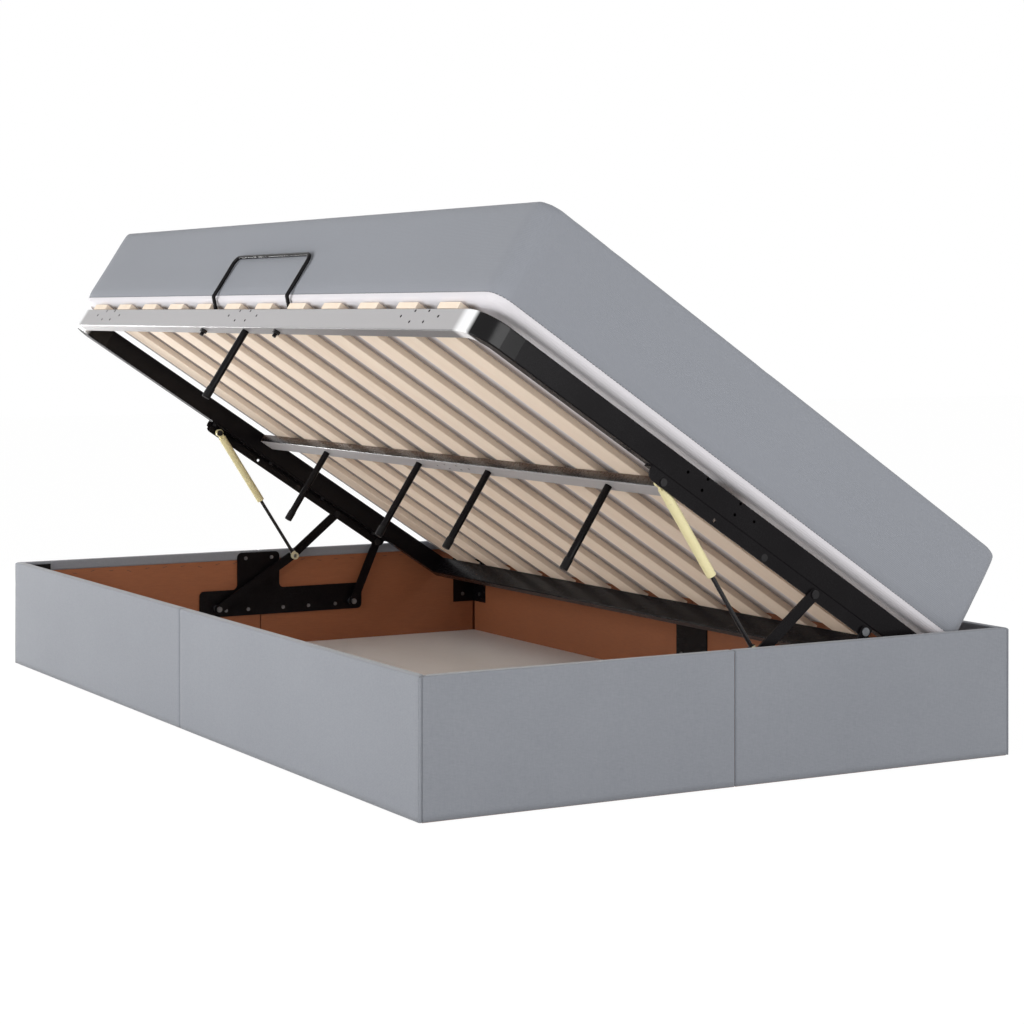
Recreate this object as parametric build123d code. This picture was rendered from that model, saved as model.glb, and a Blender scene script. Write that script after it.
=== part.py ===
from build123d import *
import os
from math import cos, sin, radians, degrees, atan2, hypot, sqrt

# Ottoman storage bed in millimetres. The origin is the middle of the base on the floor,
# +Z is up, X runs along the long sides and the side at -Y lifts. The platform is drawn raised.

os.makedirs("parts", exist_ok=True)

# base box
base_length = 2060.0
base_width = 1258.0
base_height = 240.0
board_thickness = 15.0
cover_thickness = 3.0
fold_thickness = 1.0
fold_height = 22.0
end_skin = 1.5
mitre_skin = 4.0
cover_lift = 1.0
corner_rounding = 4.0
rim_rounding = 3.0
floor_thickness = 3.0
floor_edge_gap = 0.3
floor_sheet_width = 674.0

# brackets and screws of the base
bracket_leg = 62.0
bracket_height = 120.0
bracket_thickness = 2.5
front_bracket_drop = 6.0
rear_bracket_drop = 41.0
bracket_screw_reach = 36.0
bracket_screw_heights = [20.0, 60.0, 100.0]
joint_plate_width = 120.0
joint_plate_height = 130.0
joint_plate_lift = 40.0
joint_plate_thickness = 3.0
joint_plate_rounding = 8.0
joint_screw_reach = 38.0
joint_screw_rise = 45.0
screw_radius = 2.0
screw_length = 15.0
screw_head_radius = 4.5
screw_head_height = 2.5
screw_gap = 0.1

# lower brackets of the lift, reaches are from the rear wall
lower_plate_thickness = 3.0
lower_strip_front_reach = 775.0
lower_strip_rear_reach = 330.0
lower_strip_bottom = 80.0
lower_strip_top = 145.0
lower_tab_front_reach = 674.0
lower_tab_rear_reach = 560.0
lower_tab_top = 236.0
lower_plate_rounding = 12.0
lower_screw_row = 95.0
lower_screw_reaches = [705.0, 645.0, 550.0, 480.0, 405.0]
lower_tab_screw_row = 222.0
lower_tab_screw_reaches = [652.0, 582.0]

# raised and lowered places of the platform
lift_angle = 33.25
raised_rear_reach = 93.1
raised_rear_z = 186.5
rear_gap = 3.0
leg_floor_gap = 0.5

# steel frame of the platform
frame_side_gap = 40.0
frame_front_gap = 63.0
frame_rear = 5.0
tube_width = 25.0
tube_depth = 45.0
tube_wall = 1.5
tube_rounding = 2.5
tube_bend = 60.0
front_joint_reach = 95.0
middle_bar_width = 40.0
middle_bar_depth = 20.0
middle_bar_place = 610.0
hole_radius = 3.0
hole_end_reach = 70.0
hole_pair_reach = 26.0
hole_row_reach = 11.5
side_hole_end_reach = 85.0
side_hole_pair_reach = 42.0
hole_group_depth = 16.5
hole_group_inset = 220.0
middle_hole_row_reach = 8.0

# slats
slat_count = 12
slat_width = 75.0
slat_thickness = 13.0
slat_end_room = 114.0
slat_rounding = 2.0
slat_screw_length = 18.0

# support legs
leg_radius = 7.5
leg_wall = 1.5
leg_plug = 14.0
leg_reach = 204.5
leg_cap_radius = 8.5
leg_cap_height = 24.0
leg_cap_base = 3.0
leg_cap_rounding = 1.5
leg_bolt_radius = 4.0
leg_bolt_length = 10.0
leg_bolt_head_height = 4.0
front_leg_inset = 12.5
front_leg_place = 28.0
inner_leg_place = 153.5
outer_leg_inset = 370.5

# lift handle
handle_radius = 4.0
handle_half_width = 184.0
handle_foot_inset = 11.0
handle_slant_start = 3.5
handle_front_gap = 4.8
handle_height = 123.0
handle_foot_bend = 8.0
handle_corner_bend = 18.0
handle_thread = 14.0
nut_flats = 13.0
nut_height = 6.5

# mattress
mattress_end_overhang = 10.0
mattress_front_overhang = 5.0
mattress_height = 215.0
mattress_corner = 36.0
mattress_crown = 6.0
mattress_end_crown = 0.5
mattress_top_rounding = 12.0
mattress_base_rounding = 26.0

# upper brackets
upper_plate_thickness = 3.0
upper_plate_rear = 187.0
upper_plate_front = 765.0
upper_plate_drop = 23.5
upper_plate_rounding = 16.0
upper_row_drop = 59.0
spare_hole_place = 600.0
spare_hole_radius = 3.5
stop_stud_place = 470.0
stop_stud_radius = 7.0
bracket_bolt_places = [230.0, 400.0, 570.0, 750.0]
bolt_radius = 3.0
bolt_head_flats = 10.0
bolt_head_height = 4.0
bolt_end_reach = 3.0

# links
link_thickness = 4.0
link_width = 22.0
link_side_gap = 0.3
front_link_pivot = 340.0
rear_link_pivot = 203.0
front_link_length = 390.0
rear_link_length = 162.0
elbow_reach = 156.1
elbow_drop = 11.2
pin_radius = 5.0
pin_gap = 0.05
pin_head_radius = 8.0
lower_pin_head_radius = 7.0
pin_head_height = 2.5
pin_head_gap = 0.2
spacer_radius = 9.0

# gas struts
strut_pivot = 730.0
strut_inset = 13.0
strut_eye_radius = 9.0
strut_eye_thickness = 8.0
strut_collar_radius = 7.0
cylinder_radius = 9.0
cylinder_bore = 7.5
cylinder_start = 14.0
cylinder_length = 203.0
cylinder_end_wall = 6.0
strut_neck_width = 12.0
rod_radius = 4.0
rod_gap = 0.05
piston_gap = 0.1
piston_place = 180.0
piston_thickness = 10.0
rod_eye_neck = 14.0
stud_gap = 0.3
overrun = 5.0


def block(x0, x1, y0, y1, z0, z1):
    solid = Box(x1 - x0, y1 - y0, z1 - z0, align=(Align.MIN, Align.MIN, Align.MIN))
    return Pos(x0, y0, z0) * solid


def prism(points, low, high):
    face = make_face(Polyline(*points, close=True))
    return Pos(0, 0, low) * extrude(face, amount=high - low, dir=(0, 0, 1))


def plate(face, x0, x1):
    return Pos(x0, 0, 0) * extrude(face, amount=x1 - x0, dir=(1, 0, 0))


def outline(points):
    return make_face(Plane.YZ * Polyline(*points, close=True))


def disc(point, radius):
    return Plane.YZ * Pos(point[0], point[1]) * Circle(radius)


def pin(point, radius, x0, x1):
    return plate(disc(point, radius), x0, x1)


def bar(start, end, width):
    run = hypot(end[0] - start[0], end[1] - start[1])
    turn = degrees(atan2(end[1] - start[1], end[0] - start[0]))
    middle = Pos((start[0] + end[0]) / 2, (start[1] + end[1]) / 2)
    return Plane.YZ * middle * Rot(0, 0, turn) * SlotCenterToCenter(run, width)


def hexagon(flats, height):
    return extrude(RegularPolygon(flats / 2, 6, major_radius=False), amount=height)


def solids_of(shapes):
    found = []
    for shape in shapes:
        found.extend(shape.solids())
    return found


def left_of(shapes):
    return [mirror(shape, about=Plane.YZ) for shape in shapes]


def save(name, shapes):
    found = solids_of(shapes)
    result = found[0] if len(found) == 1 else Compound(found)
    result.label = name
    export_step(result, "parts/" + name + ".step")


def meets(first, second):
    a = first.bounding_box()
    b = second.bounding_box()
    apart_x = a.max.X < b.min.X or b.max.X < a.min.X
    apart_y = a.max.Y < b.min.Y or b.max.Y < a.min.Y
    apart_z = a.max.Z < b.min.Z or b.max.Z < a.min.Z
    return not (apart_x or apart_y or apart_z)


def cut_all(shape, tools):
    near = [tool for tool in tools if meets(shape, tool)]
    for tool in near:
        shape = shape - tool
    return shape


# where the platform's points are, raised or lowered: s from the rear, n above the frame
wall = cover_thickness + board_thickness + fold_thickness
inner_x = base_length / 2 - wall
inner_y = base_width / 2 - wall
board_x = inner_x + fold_thickness
board_y = inner_y + fold_thickness
raised_rear_y = inner_y - raised_rear_reach
lowered_rear_y = inner_y - rear_gap
lowered_rear_z = floor_thickness + leg_floor_gap + leg_reach
frame_length = base_length - 2 * frame_side_gap
frame_front = base_width - frame_front_gap
front_joint = frame_front - front_joint_reach
mattress_length = frame_length + 2 * mattress_end_overhang
mattress_width = frame_front + mattress_front_overhang
handle_foot = frame_front - handle_foot_inset
handle_front = mattress_width + handle_front_gap
lower_strip_front = inner_y - lower_strip_front_reach
lower_strip_rear = inner_y - lower_strip_rear_reach
lower_tab_front = inner_y - lower_tab_front_reach
lower_tab_rear = inner_y - lower_tab_rear_reach
slat_pitch = (frame_length - slat_end_room) / slat_count
hole_group_place = frame_length / 2 - hole_group_inset
hole_group_places = [-hole_group_place, 0, hole_group_place]
outer_leg_place = frame_length / 2 - outer_leg_inset
middle_leg_places = [-outer_leg_place, -inner_leg_place, inner_leg_place, outer_leg_place]


def raised(s, n):
    c = cos(radians(lift_angle))
    k = sin(radians(lift_angle))
    return (raised_rear_y - s * c + n * k, raised_rear_z + s * k + n * c)


def lowered(s, n):
    return (lowered_rear_y - s, lowered_rear_z + n)


def fixed_pivot(s, n, length):
    a = raised(s, n)
    b = lowered(s, n)
    gap = hypot(a[0] - b[0], a[1] - b[1])
    side_y = (a[1] - b[1]) / gap
    side_z = (b[0] - a[0]) / gap
    reach = sqrt(length * length - gap * gap / 4)
    return ((a[0] + b[0]) / 2 - reach * side_y, (a[1] + b[1]) / 2 - reach * side_z)


raised_place = Pos(0, raised_rear_y, raised_rear_z) * Rot(-lift_angle, 0, 0)

pivot_a = raised(front_link_pivot, -upper_row_drop)
pivot_b = raised(rear_link_pivot, -upper_row_drop)
pivot_c = fixed_pivot(front_link_pivot, -upper_row_drop, front_link_length)
pivot_d = fixed_pivot(rear_link_pivot, -upper_row_drop, rear_link_length)
pivot_t = raised(strut_pivot, -upper_row_drop)
along_y = (pivot_c[0] - pivot_a[0]) / front_link_length
along_z = (pivot_c[1] - pivot_a[1]) / front_link_length
elbow = (
    pivot_a[0] + along_y * elbow_reach - along_z * elbow_drop,
    pivot_a[1] + along_z * elbow_reach + along_y * elbow_drop,
)

# levels from the middle of the bed outwards, on the right end
rail_outer = frame_length / 2
rail_inner = rail_outer - tube_width
leaf_outer = rail_outer
leaf_inner = leaf_outer - upper_plate_thickness
link_inner = rail_outer + link_side_gap
link_outer = link_inner + link_thickness
plate_outer = inner_x
plate_inner = plate_outer - lower_plate_thickness
strut_x = rail_outer - strut_inset
eye_outer = strut_x + strut_eye_thickness / 2
eye_inner = strut_x - strut_eye_thickness / 2


# base screws, their seats and holes
def screw_at(x, y, z, direction, length):
    seat = Plane(origin=(x, y, z), z_dir=direction)
    head = Pos(0, 0, -screw_head_height) * Cylinder(
        screw_head_radius, screw_head_height, align=(Align.CENTER, Align.CENTER, Align.MIN)
    )
    shank = Cylinder(screw_radius, length, align=(Align.CENTER, Align.CENTER, Align.MIN))
    hole = Cylinder(
        screw_radius + screw_gap, length + screw_gap, align=(Align.CENTER, Align.CENTER, Align.MIN)
    )
    return seat * (head + shank), seat * hole


base_screws = []
screw_holes = []


def add_screw(x, y, z, direction):
    screw, hole = screw_at(x, y, z, direction, screw_length)
    base_screws.append(screw)
    screw_holes.append(hole)


corner_brackets = []
for sign_y in (-1, 1):
    drop = front_bracket_drop if sign_y < 0 else rear_bracket_drop
    face_x = inner_x if sign_y < 0 else board_x
    face_y = inner_y if sign_y < 0 else board_y
    bottom = base_height - drop - bracket_height
    for sign_x in (-1, 1):
        points = [
            (face_x, face_y),
            (face_x - bracket_leg, face_y),
            (face_x - bracket_leg, face_y - bracket_thickness),
            (face_x - bracket_thickness, face_y - bracket_thickness),
            (face_x - bracket_thickness, face_y - bracket_leg),
            (face_x, face_y - bracket_leg),
        ]
        placed = [(sign_x * p[0], sign_y * p[1]) for p in points]
        corner_brackets.append(prism(placed, bottom, bottom + bracket_height))
        for height in bracket_screw_heights:
            along = face_x - bracket_screw_reach
            across = face_y - bracket_thickness
            add_screw(sign_x * along, sign_y * across, bottom + height, (0, sign_y, 0))
            along = face_x - bracket_thickness
            across = face_y - bracket_screw_reach
            add_screw(sign_x * along, sign_y * across, bottom + height, (sign_x, 0, 0))

joint_plates = []
joint_middle = joint_plate_lift + joint_plate_height / 2
for sign_y in (-1, 1):
    flat = RectangleRounded(joint_plate_width, joint_plate_height, joint_plate_rounding)
    seat = Plane(origin=(0, sign_y * board_y, joint_middle), x_dir=(1, 0, 0), z_dir=(0, -sign_y, 0))
    joint_plates.append(seat * extrude(flat, amount=joint_plate_thickness))
    for sign_x in (-1, 1):
        for sign_z in (-1, 1):
            across = board_y - joint_plate_thickness
            height = joint_middle + sign_z * joint_screw_rise
            add_screw(sign_x * joint_screw_reach, sign_y * across, height, (0, sign_y, 0))

for sign_x in (-1, 1):
    for reach in lower_screw_reaches:
        add_screw(sign_x * plate_inner, inner_y - reach, lower_screw_row, (sign_x, 0, 0))
    for reach in lower_tab_screw_reaches:
        add_screw(sign_x * plate_inner, inner_y - reach, lower_tab_screw_row, (sign_x, 0, 0))


# boards and covers: u runs from a side's middle seam to its corner, v points outwards
def plan(points, turned, sign_x, sign_y):
    if turned:
        return [(sign_x * v, sign_y * u) for u, v in points]
    return [(sign_x * u, sign_y * v) for u, v in points]


def panel(run, face, turned, sign_x, sign_y):
    envelope_points = [(0, face), (run, face), (run - wall, face - wall), (0, face - wall)]
    board_out = face - cover_thickness
    board_in = board_out - board_thickness
    mitre = run - mitre_skin
    board_points = [
        (end_skin, board_out),
        (mitre - cover_thickness, board_out),
        (mitre - cover_thickness - board_thickness, board_in),
        (end_skin, board_in),
    ]
    envelope = prism(plan(envelope_points, turned, sign_x, sign_y), cover_lift, base_height)
    outer = plan([(0, face), (run, face)], turned, sign_x, sign_y)
    rounded = []
    for edge in envelope.edges().filter_by(Axis.Z):
        middle = edge.center()
        if any(hypot(middle.X - p[0], middle.Y - p[1]) < overrun for p in outer):
            rounded.append(edge)
    envelope = fillet(rounded, corner_rounding)
    envelope = fillet(envelope.edges().group_by(Axis.Z)[-1], rim_rounding)
    board = prism(plan(board_points, turned, sign_x, sign_y), 0, base_height - cover_thickness)
    below = [
        (-overrun, board_in),
        (run + overrun, board_in),
        (run + overrun, face - wall - overrun),
        (-overrun, face - wall - overrun),
    ]
    hollow = prism(plan(below, turned, sign_x, sign_y), -overrun, base_height - fold_height)
    cover = envelope - board - hollow
    return cut_all(board, screw_holes), cut_all(cover, screw_holes)


half_length = base_length / 2
half_width = base_width / 2
sides = [
    ("front", False, 1, -1, "front_board_right"),
    ("front", False, -1, -1, "front_board_left"),
    ("rear", False, 1, 1, "rear_board_right"),
    ("rear", False, -1, 1, "rear_board_left"),
    ("right", True, 1, -1, "right_end_board_front"),
    ("right", True, 1, 1, "right_end_board_rear"),
    ("left", True, -1, -1, "left_end_board_front"),
    ("left", True, -1, 1, "left_end_board_rear"),
]
for side, turned, sign_x, sign_y, name in sides:
    run = half_width if turned else half_length
    face = half_length if turned else half_width
    board, cover = panel(run, face, turned, sign_x, sign_y)
    save(name, [board])
    save(name.replace("board", "cover"), [cover])

floor_x = board_x - floor_edge_gap
floor_y = board_y - floor_edge_gap
floor_split = floor_sheet_width / 2
floor_middle = block(-floor_split, floor_split, -floor_y, floor_y, 0, floor_thickness)
floor_right = block(floor_split, floor_x, -floor_y, floor_y, 0, floor_thickness)
save("storage_floor", [floor_middle, floor_right] + left_of([floor_right]))
save("corner_brackets", [cut_all(bracket, screw_holes) for bracket in corner_brackets])
save("joint_plates", [cut_all(flat, screw_holes) for flat in joint_plates])
save("base_screws", base_screws)

# lower brackets
strip = outline(
    [
        (lower_strip_front, lower_strip_bottom),
        (lower_strip_rear, lower_strip_bottom),
        (lower_strip_rear, lower_strip_top),
        (lower_tab_rear, lower_strip_top),
        (lower_tab_rear, lower_tab_top),
        (lower_tab_front, lower_tab_top),
        (lower_tab_front, lower_strip_top),
        (lower_strip_front, lower_strip_top),
    ]
)
strip = fillet(strip.vertices(), lower_plate_rounding)
lower_bracket = plate(strip, plate_inner, plate_outer)
for point in (pivot_c, pivot_d):
    lower_bracket = lower_bracket - pin(point, pin_radius, plate_inner - overrun, plate_outer + overrun)
lower_bracket = cut_all(lower_bracket, screw_holes)
save("lower_bracket_right", [lower_bracket])
save("lower_bracket_left", left_of([lower_bracket]))

lower_pins = []
for point in (pivot_c, pivot_d):
    head_outer = link_inner - pin_head_gap
    head_inner = head_outer - pin_head_height
    spacer_start = link_outer + pin_head_gap
    stepped = pin(point, lower_pin_head_radius, head_inner, head_outer)
    stepped = stepped + pin(point, pin_radius, head_inner, plate_outer)
    stepped = stepped + pin(point, spacer_radius, spacer_start, plate_inner)
    lower_pins.append(stepped)
save("lower_link_pins", lower_pins + left_of(lower_pins))

# links, drawn as they stand with the platform raised
front_face = bar(pivot_a, elbow, link_width) + bar(elbow, pivot_c, link_width)
front_link = plate(front_face, link_inner, link_outer)
for point in (pivot_a, pivot_c):
    hole = pin(point, pin_radius + pin_gap, link_inner - overrun, link_outer + overrun)
    front_link = front_link - hole
front_link = front_link - pin(elbow, pin_radius, link_inner - overrun, link_outer + overrun)
save("front_link_right", [front_link])
save("front_link_left", left_of([front_link]))

stud = pin(elbow, pin_head_radius, link_outer, link_outer + pin_head_height)
stud = stud + pin(elbow, pin_radius, eye_outer + stud_gap, link_outer + pin_head_height)
save("strut_stud_right", [stud])
save("strut_stud_left", left_of([stud]))

rear_link = plate(bar(pivot_b, pivot_d, link_width), link_inner, link_outer)
rear_link = rear_link - pin(
    pivot_d, pin_radius + pin_gap, link_inner - overrun, link_outer + overrun
)
rear_link = rear_link - pin(pivot_b, pin_radius, link_inner - overrun, link_outer + overrun)
save("rear_link_right", [rear_link])
save("rear_link_left", left_of([rear_link]))

rear_rivet = pin(pivot_b, pin_head_radius, link_outer, link_outer + pin_head_height)
rear_rivet = rear_rivet + pin(pivot_b, pin_radius, link_inner, link_outer + pin_head_height)
save("rear_link_rivet_right", [rear_rivet])
save("rear_link_rivet_left", left_of([rear_rivet]))

# gas struts
strut_run_y = elbow[0] - pivot_t[0]
strut_run_z = elbow[1] - pivot_t[1]
strut_length = hypot(strut_run_y, strut_run_z)
strut_place = Plane(
    origin=(strut_x, pivot_t[0], pivot_t[1]), x_dir=(1, 0, 0), z_dir=(0, strut_run_y, strut_run_z)
)


def round_bar(radius, low, high):
    solid = Cylinder(radius, high - low, align=(Align.CENTER, Align.CENTER, Align.MIN))
    return Pos(0, 0, low) * solid


def cross_pin(radius, height, width):
    return Pos(0, 0, height) * Rot(0, 90, 0) * Cylinder(radius, width)


half_eye = strut_eye_thickness / 2
half_neck = strut_neck_width / 2
top_eye = cross_pin(strut_eye_radius, 0, strut_eye_thickness)
top_eye = top_eye + block(-half_eye, half_eye, -half_neck, half_neck, 0, cylinder_start)
shell = round_bar(cylinder_radius, cylinder_start, cylinder_length)
bore_start = cylinder_start + cylinder_end_wall
bore_end = cylinder_length - cylinder_end_wall
shell = shell - round_bar(cylinder_bore, bore_start, bore_end)
shell = shell - round_bar(rod_radius + rod_gap, bore_end - overrun, cylinder_length + overrun)
strut_cylinder = top_eye + shell
strut_cylinder = strut_cylinder - cross_pin(pin_radius + pin_gap, 0, strut_eye_thickness + overrun)
strut_cylinder = strut_place * strut_cylinder
save("strut_cylinder_right", [strut_cylinder])
save("strut_cylinder_left", left_of([strut_cylinder]))

piston = round_bar(cylinder_bore - piston_gap, piston_place, piston_place + piston_thickness)
rod = round_bar(rod_radius, piston_place, strut_length - rod_eye_neck)
neck = block(
    -half_eye, half_eye, -half_neck, half_neck, strut_length - rod_eye_neck, strut_length
)
low_eye = cross_pin(strut_eye_radius, strut_length, strut_eye_thickness)
strut_rod = piston + rod + neck + low_eye
strut_rod = strut_rod - cross_pin(
    pin_radius + pin_gap, strut_length, strut_eye_thickness + overrun
)
strut_rod = strut_place * strut_rod
save("strut_rod_right", [strut_rod])
save("strut_rod_left", left_of([strut_rod]))


# platform parts are drawn lying flat, with y = -s and z = n, then raised
def flat_plan(points, low, high):
    return prism([(x, -s) for x, s in points], low, high)


def tube_edges(shape):
    return [edge for edge in shape.edges() if edge.length > tube_depth]


rail_x = rail_outer
hollow_x = rail_outer - tube_wall
inner_hollow_x = rail_inner + tube_wall
rear_inner = frame_rear + tube_width
right_rail = flat_plan(
    [(rail_x, frame_rear), (rail_x, front_joint), (rail_inner, front_joint), (rail_inner, rear_inner)],
    -tube_depth,
    0,
)
right_rail = fillet(tube_edges(right_rail), tube_rounding)
right_hollow = flat_plan(
    [
        (hollow_x, frame_rear + tube_wall),
        (hollow_x, front_joint),
        (inner_hollow_x, front_joint),
        (inner_hollow_x, rear_inner - tube_wall),
    ],
    tube_wall - tube_depth,
    -tube_wall,
)
right_rail = right_rail - right_hollow
rear_tube = flat_plan(
    [(-rail_x, frame_rear), (rail_x, frame_rear), (rail_inner, rear_inner), (-rail_inner, rear_inner)],
    -tube_depth,
    0,
)
rear_tube = fillet(tube_edges(rear_tube), tube_rounding)
rear_tube = rear_tube - flat_plan(
    [
        (-hollow_x, frame_rear + tube_wall),
        (hollow_x, frame_rear + tube_wall),
        (inner_hollow_x, rear_inner - tube_wall),
        (-inner_hollow_x, rear_inner - tube_wall),
    ],
    tube_wall - tube_depth,
    -tube_wall,
)


def bent_band(half_out, half_in, front_out, front_in, bend_out, bend_in, low, high):
    outer = make_face(
        FilletPolyline(
            (-half_out, -front_joint),
            (-half_out, -front_out),
            (half_out, -front_out),
            (half_out, -front_joint),
            radius=[0, bend_out, bend_out, 0],
            close=True,
        )
    )
    inner = make_face(
        FilletPolyline(
            (-half_in, -front_joint),
            (-half_in, -front_in),
            (half_in, -front_in),
            (half_in, -front_joint),
            radius=[0, bend_in, bend_in, 0],
            close=True,
        )
    )
    return Pos(0, 0, low) * extrude(outer - inner, amount=high - low, dir=(0, 0, 1))


front_tube = bent_band(
    rail_outer,
    rail_inner,
    frame_front,
    frame_front - tube_width,
    tube_bend,
    tube_bend - tube_width,
    -tube_depth,
    0,
)
long_edges = []
for edge in front_tube.edges().filter_by(Plane.XY):
    if abs(edge.center().Y + front_joint) > overrun:
        long_edges.append(edge)
front_tube = fillet(long_edges, tube_rounding)
front_tube = front_tube - bent_band(
    hollow_x,
    inner_hollow_x,
    frame_front - tube_wall,
    frame_front - tube_width + tube_wall,
    tube_bend - tube_wall,
    tube_bend - tube_width + tube_wall,
    tube_wall - tube_depth,
    -tube_wall,
)

bar_rear = middle_bar_place - middle_bar_width / 2
bar_front = middle_bar_place + middle_bar_width / 2
middle_bar = block(-rail_inner, rail_inner, -bar_front, -bar_rear, -middle_bar_depth, 0)
middle_bar = fillet(middle_bar.edges().filter_by(Axis.X), tube_rounding)
middle_bar = middle_bar - block(
    -rail_inner - overrun,
    rail_inner + overrun,
    tube_wall - bar_front,
    -bar_rear - tube_wall,
    tube_wall - middle_bar_depth,
    -tube_wall,
)


# small holes in flattened rings, through one wall of a tube
def ring_points(end_reach, pair_reach, row_reach):
    return [
        (-end_reach, 0),
        (-pair_reach, row_reach),
        (pair_reach, row_reach),
        (end_reach, 0),
        (pair_reach, -row_reach),
        (-pair_reach, -row_reach),
    ]


ring = ring_points(hole_end_reach, hole_pair_reach, hole_row_reach)
side_ring = ring_points(side_hole_end_reach, side_hole_pair_reach, hole_row_reach)
middle_ring = ring_points(hole_end_reach, hole_pair_reach, middle_hole_row_reach)
hole_run = tube_wall + overrun
for place in hole_group_places:
    for along, across in ring:
        drill = Rot(90, 0, 0) * Cylinder(hole_radius, hole_run)
        front_face_y = -frame_front + overrun / 2 - tube_wall / 2
        middle_n = across - hole_group_depth
        front_tube = front_tube - Pos(place + along, front_face_y - tube_wall / 2, middle_n) * drill
        if place != 0:
            rear_face_y = -frame_rear - overrun / 2 + tube_wall / 2
            rear_tube = rear_tube - Pos(place + along, rear_face_y + tube_wall / 2, middle_n) * drill
for along, across in side_ring:
    drill = Rot(0, 90, 0) * Cylinder(hole_radius, tube_wall * 2)
    place = Pos(rail_outer, along - middle_bar_place, across - hole_group_depth)
    right_rail = right_rail - place * drill
for along, across in middle_ring:
    drill = Cylinder(hole_radius, tube_wall * 2)
    middle_bar = middle_bar - Pos(along, across - middle_bar_place, -middle_bar_depth) * drill

# slats and their screws
slats = []
slat_screws = []
slat_tools = []
rear_row = frame_rear + tube_width / 2
front_row = frame_front - tube_width / 2
for number in range(slat_count):
    middle_x = (number - (slat_count - 1) / 2) * slat_pitch
    slat = block(
        middle_x - slat_width / 2, middle_x + slat_width / 2, -frame_front, -frame_rear, 0, slat_thickness
    )
    slat = fillet(slat.edges().filter_by(Axis.Y), slat_rounding)
    for row in (rear_row, middle_bar_place, front_row):
        sink = Cone(
            screw_radius, screw_head_radius, screw_head_height, align=(Align.CENTER, Align.CENTER, Align.MIN)
        )
        top = slat_thickness - screw_head_height
        shank = Pos(0, 0, slat_thickness - slat_screw_length) * Cylinder(
            screw_radius, slat_screw_length, align=(Align.CENTER, Align.CENTER, Align.MIN)
        )
        screw = Pos(middle_x, -row, 0) * (Pos(0, 0, top) * sink + shank)
        slat_screws.append(screw)
        slat = slat - screw
        tool = Pos(middle_x, -row, slat_thickness - slat_screw_length) * Cylinder(
            screw_radius + screw_gap, slat_screw_length, align=(Align.CENTER, Align.CENTER, Align.MIN)
        )
        slat_tools.append(tool)
    slats.append(slat)

# support legs, caps and the bolts that hold them
legs = []
leg_caps = []
leg_bolts = []
leg_bolt_holes = []
leg_spots = [(front_leg_place, frame_front - front_leg_inset, tube_depth)]
for place in middle_leg_places:
    leg_spots.append((place, middle_bar_place, middle_bar_depth))
for x, s, depth in leg_spots:
    foot = leg_cap_base - leg_reach
    leg = round_bar(leg_radius, foot, -depth)
    leg = leg - round_bar(leg_radius - leg_wall, foot - overrun, -depth - leg_plug)
    leg = leg - round_bar(leg_bolt_radius, -depth - leg_bolt_length, -depth)
    cap = round_bar(leg_cap_radius, -leg_reach, -leg_reach + leg_cap_height)
    cap = fillet(cap.edges(), leg_cap_rounding)
    cap = cap - round_bar(leg_radius, foot, -leg_reach + leg_cap_height + overrun)
    bolt = round_bar(leg_bolt_radius, -depth - leg_bolt_length, 0) + hexagon(nut_flats, leg_bolt_head_height)
    tool = round_bar(leg_bolt_radius, -depth, 0)
    legs.append(Pos(x, -s, 0) * leg)
    leg_caps.append(Pos(x, -s, 0) * cap)
    leg_bolts.append(Pos(x, -s, 0) * bolt)
    leg_bolt_holes.append(Pos(x, -s, 0) * tool)

# lift handle with its nuts
handle_points = [
    (-handle_half_width, -handle_foot, -tube_depth - handle_thread),
    (-handle_half_width, -handle_foot, handle_slant_start),
    (-handle_half_width, -handle_front, handle_slant_start + handle_front - handle_foot),
    (-handle_half_width, -handle_front, handle_height),
    (handle_half_width, -handle_front, handle_height),
    (handle_half_width, -handle_front, handle_slant_start + handle_front - handle_foot),
    (handle_half_width, -handle_foot, handle_slant_start),
    (handle_half_width, -handle_foot, -tube_depth - handle_thread),
]
handle_bends = [
    handle_foot_bend,
    handle_foot_bend,
    handle_corner_bend,
    handle_corner_bend,
    handle_foot_bend,
    handle_foot_bend,
]
handle_path = FilletPolyline(*handle_points, radius=handle_bends)
handle_section = Plane(origin=handle_path @ 0, z_dir=handle_path % 0) * Circle(handle_radius)
lift_handle = sweep(handle_section, path=handle_path)
handle_nuts = []
handle_holes = []
for sign_x in (-1, 1):
    spot = Pos(sign_x * handle_half_width, -handle_foot, 0)
    nut = Pos(0, 0, -tube_depth - nut_height) * hexagon(nut_flats, nut_height)
    nut = nut - round_bar(handle_radius, -tube_depth - nut_height - overrun, -tube_depth + overrun)
    handle_nuts.append(spot * nut)
    handle_holes.append(spot * round_bar(handle_radius, -tube_depth - overrun, overrun))

# upper brackets
leaf_bottom = -tube_depth - upper_plate_drop
leaf_corners = [
    (-upper_plate_rear, -tube_depth),
    (-upper_plate_rear, leaf_bottom),
    (-upper_plate_front, leaf_bottom),
    (-upper_plate_front, -tube_depth),
]
leaf = outline(leaf_corners)
leaf = fillet(leaf.vertices().group_by(Axis.Z)[0], upper_plate_rounding)
row_n = -upper_row_drop
leaf = leaf - disc((-spare_hole_place, row_n), spare_hole_radius)
leaf = leaf - disc((-stop_stud_place, row_n), stop_stud_radius)
for place in (front_link_pivot, rear_link_pivot, strut_pivot):
    leaf = leaf - disc((-place, row_n), pin_radius)
upper_bracket = plate(leaf, leaf_inner, leaf_outer) + block(
    rail_inner,
    leaf_outer,
    -upper_plate_front,
    -upper_plate_rear,
    -tube_depth - upper_plate_thickness,
    -tube_depth,
)
bracket_bolts = []
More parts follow.
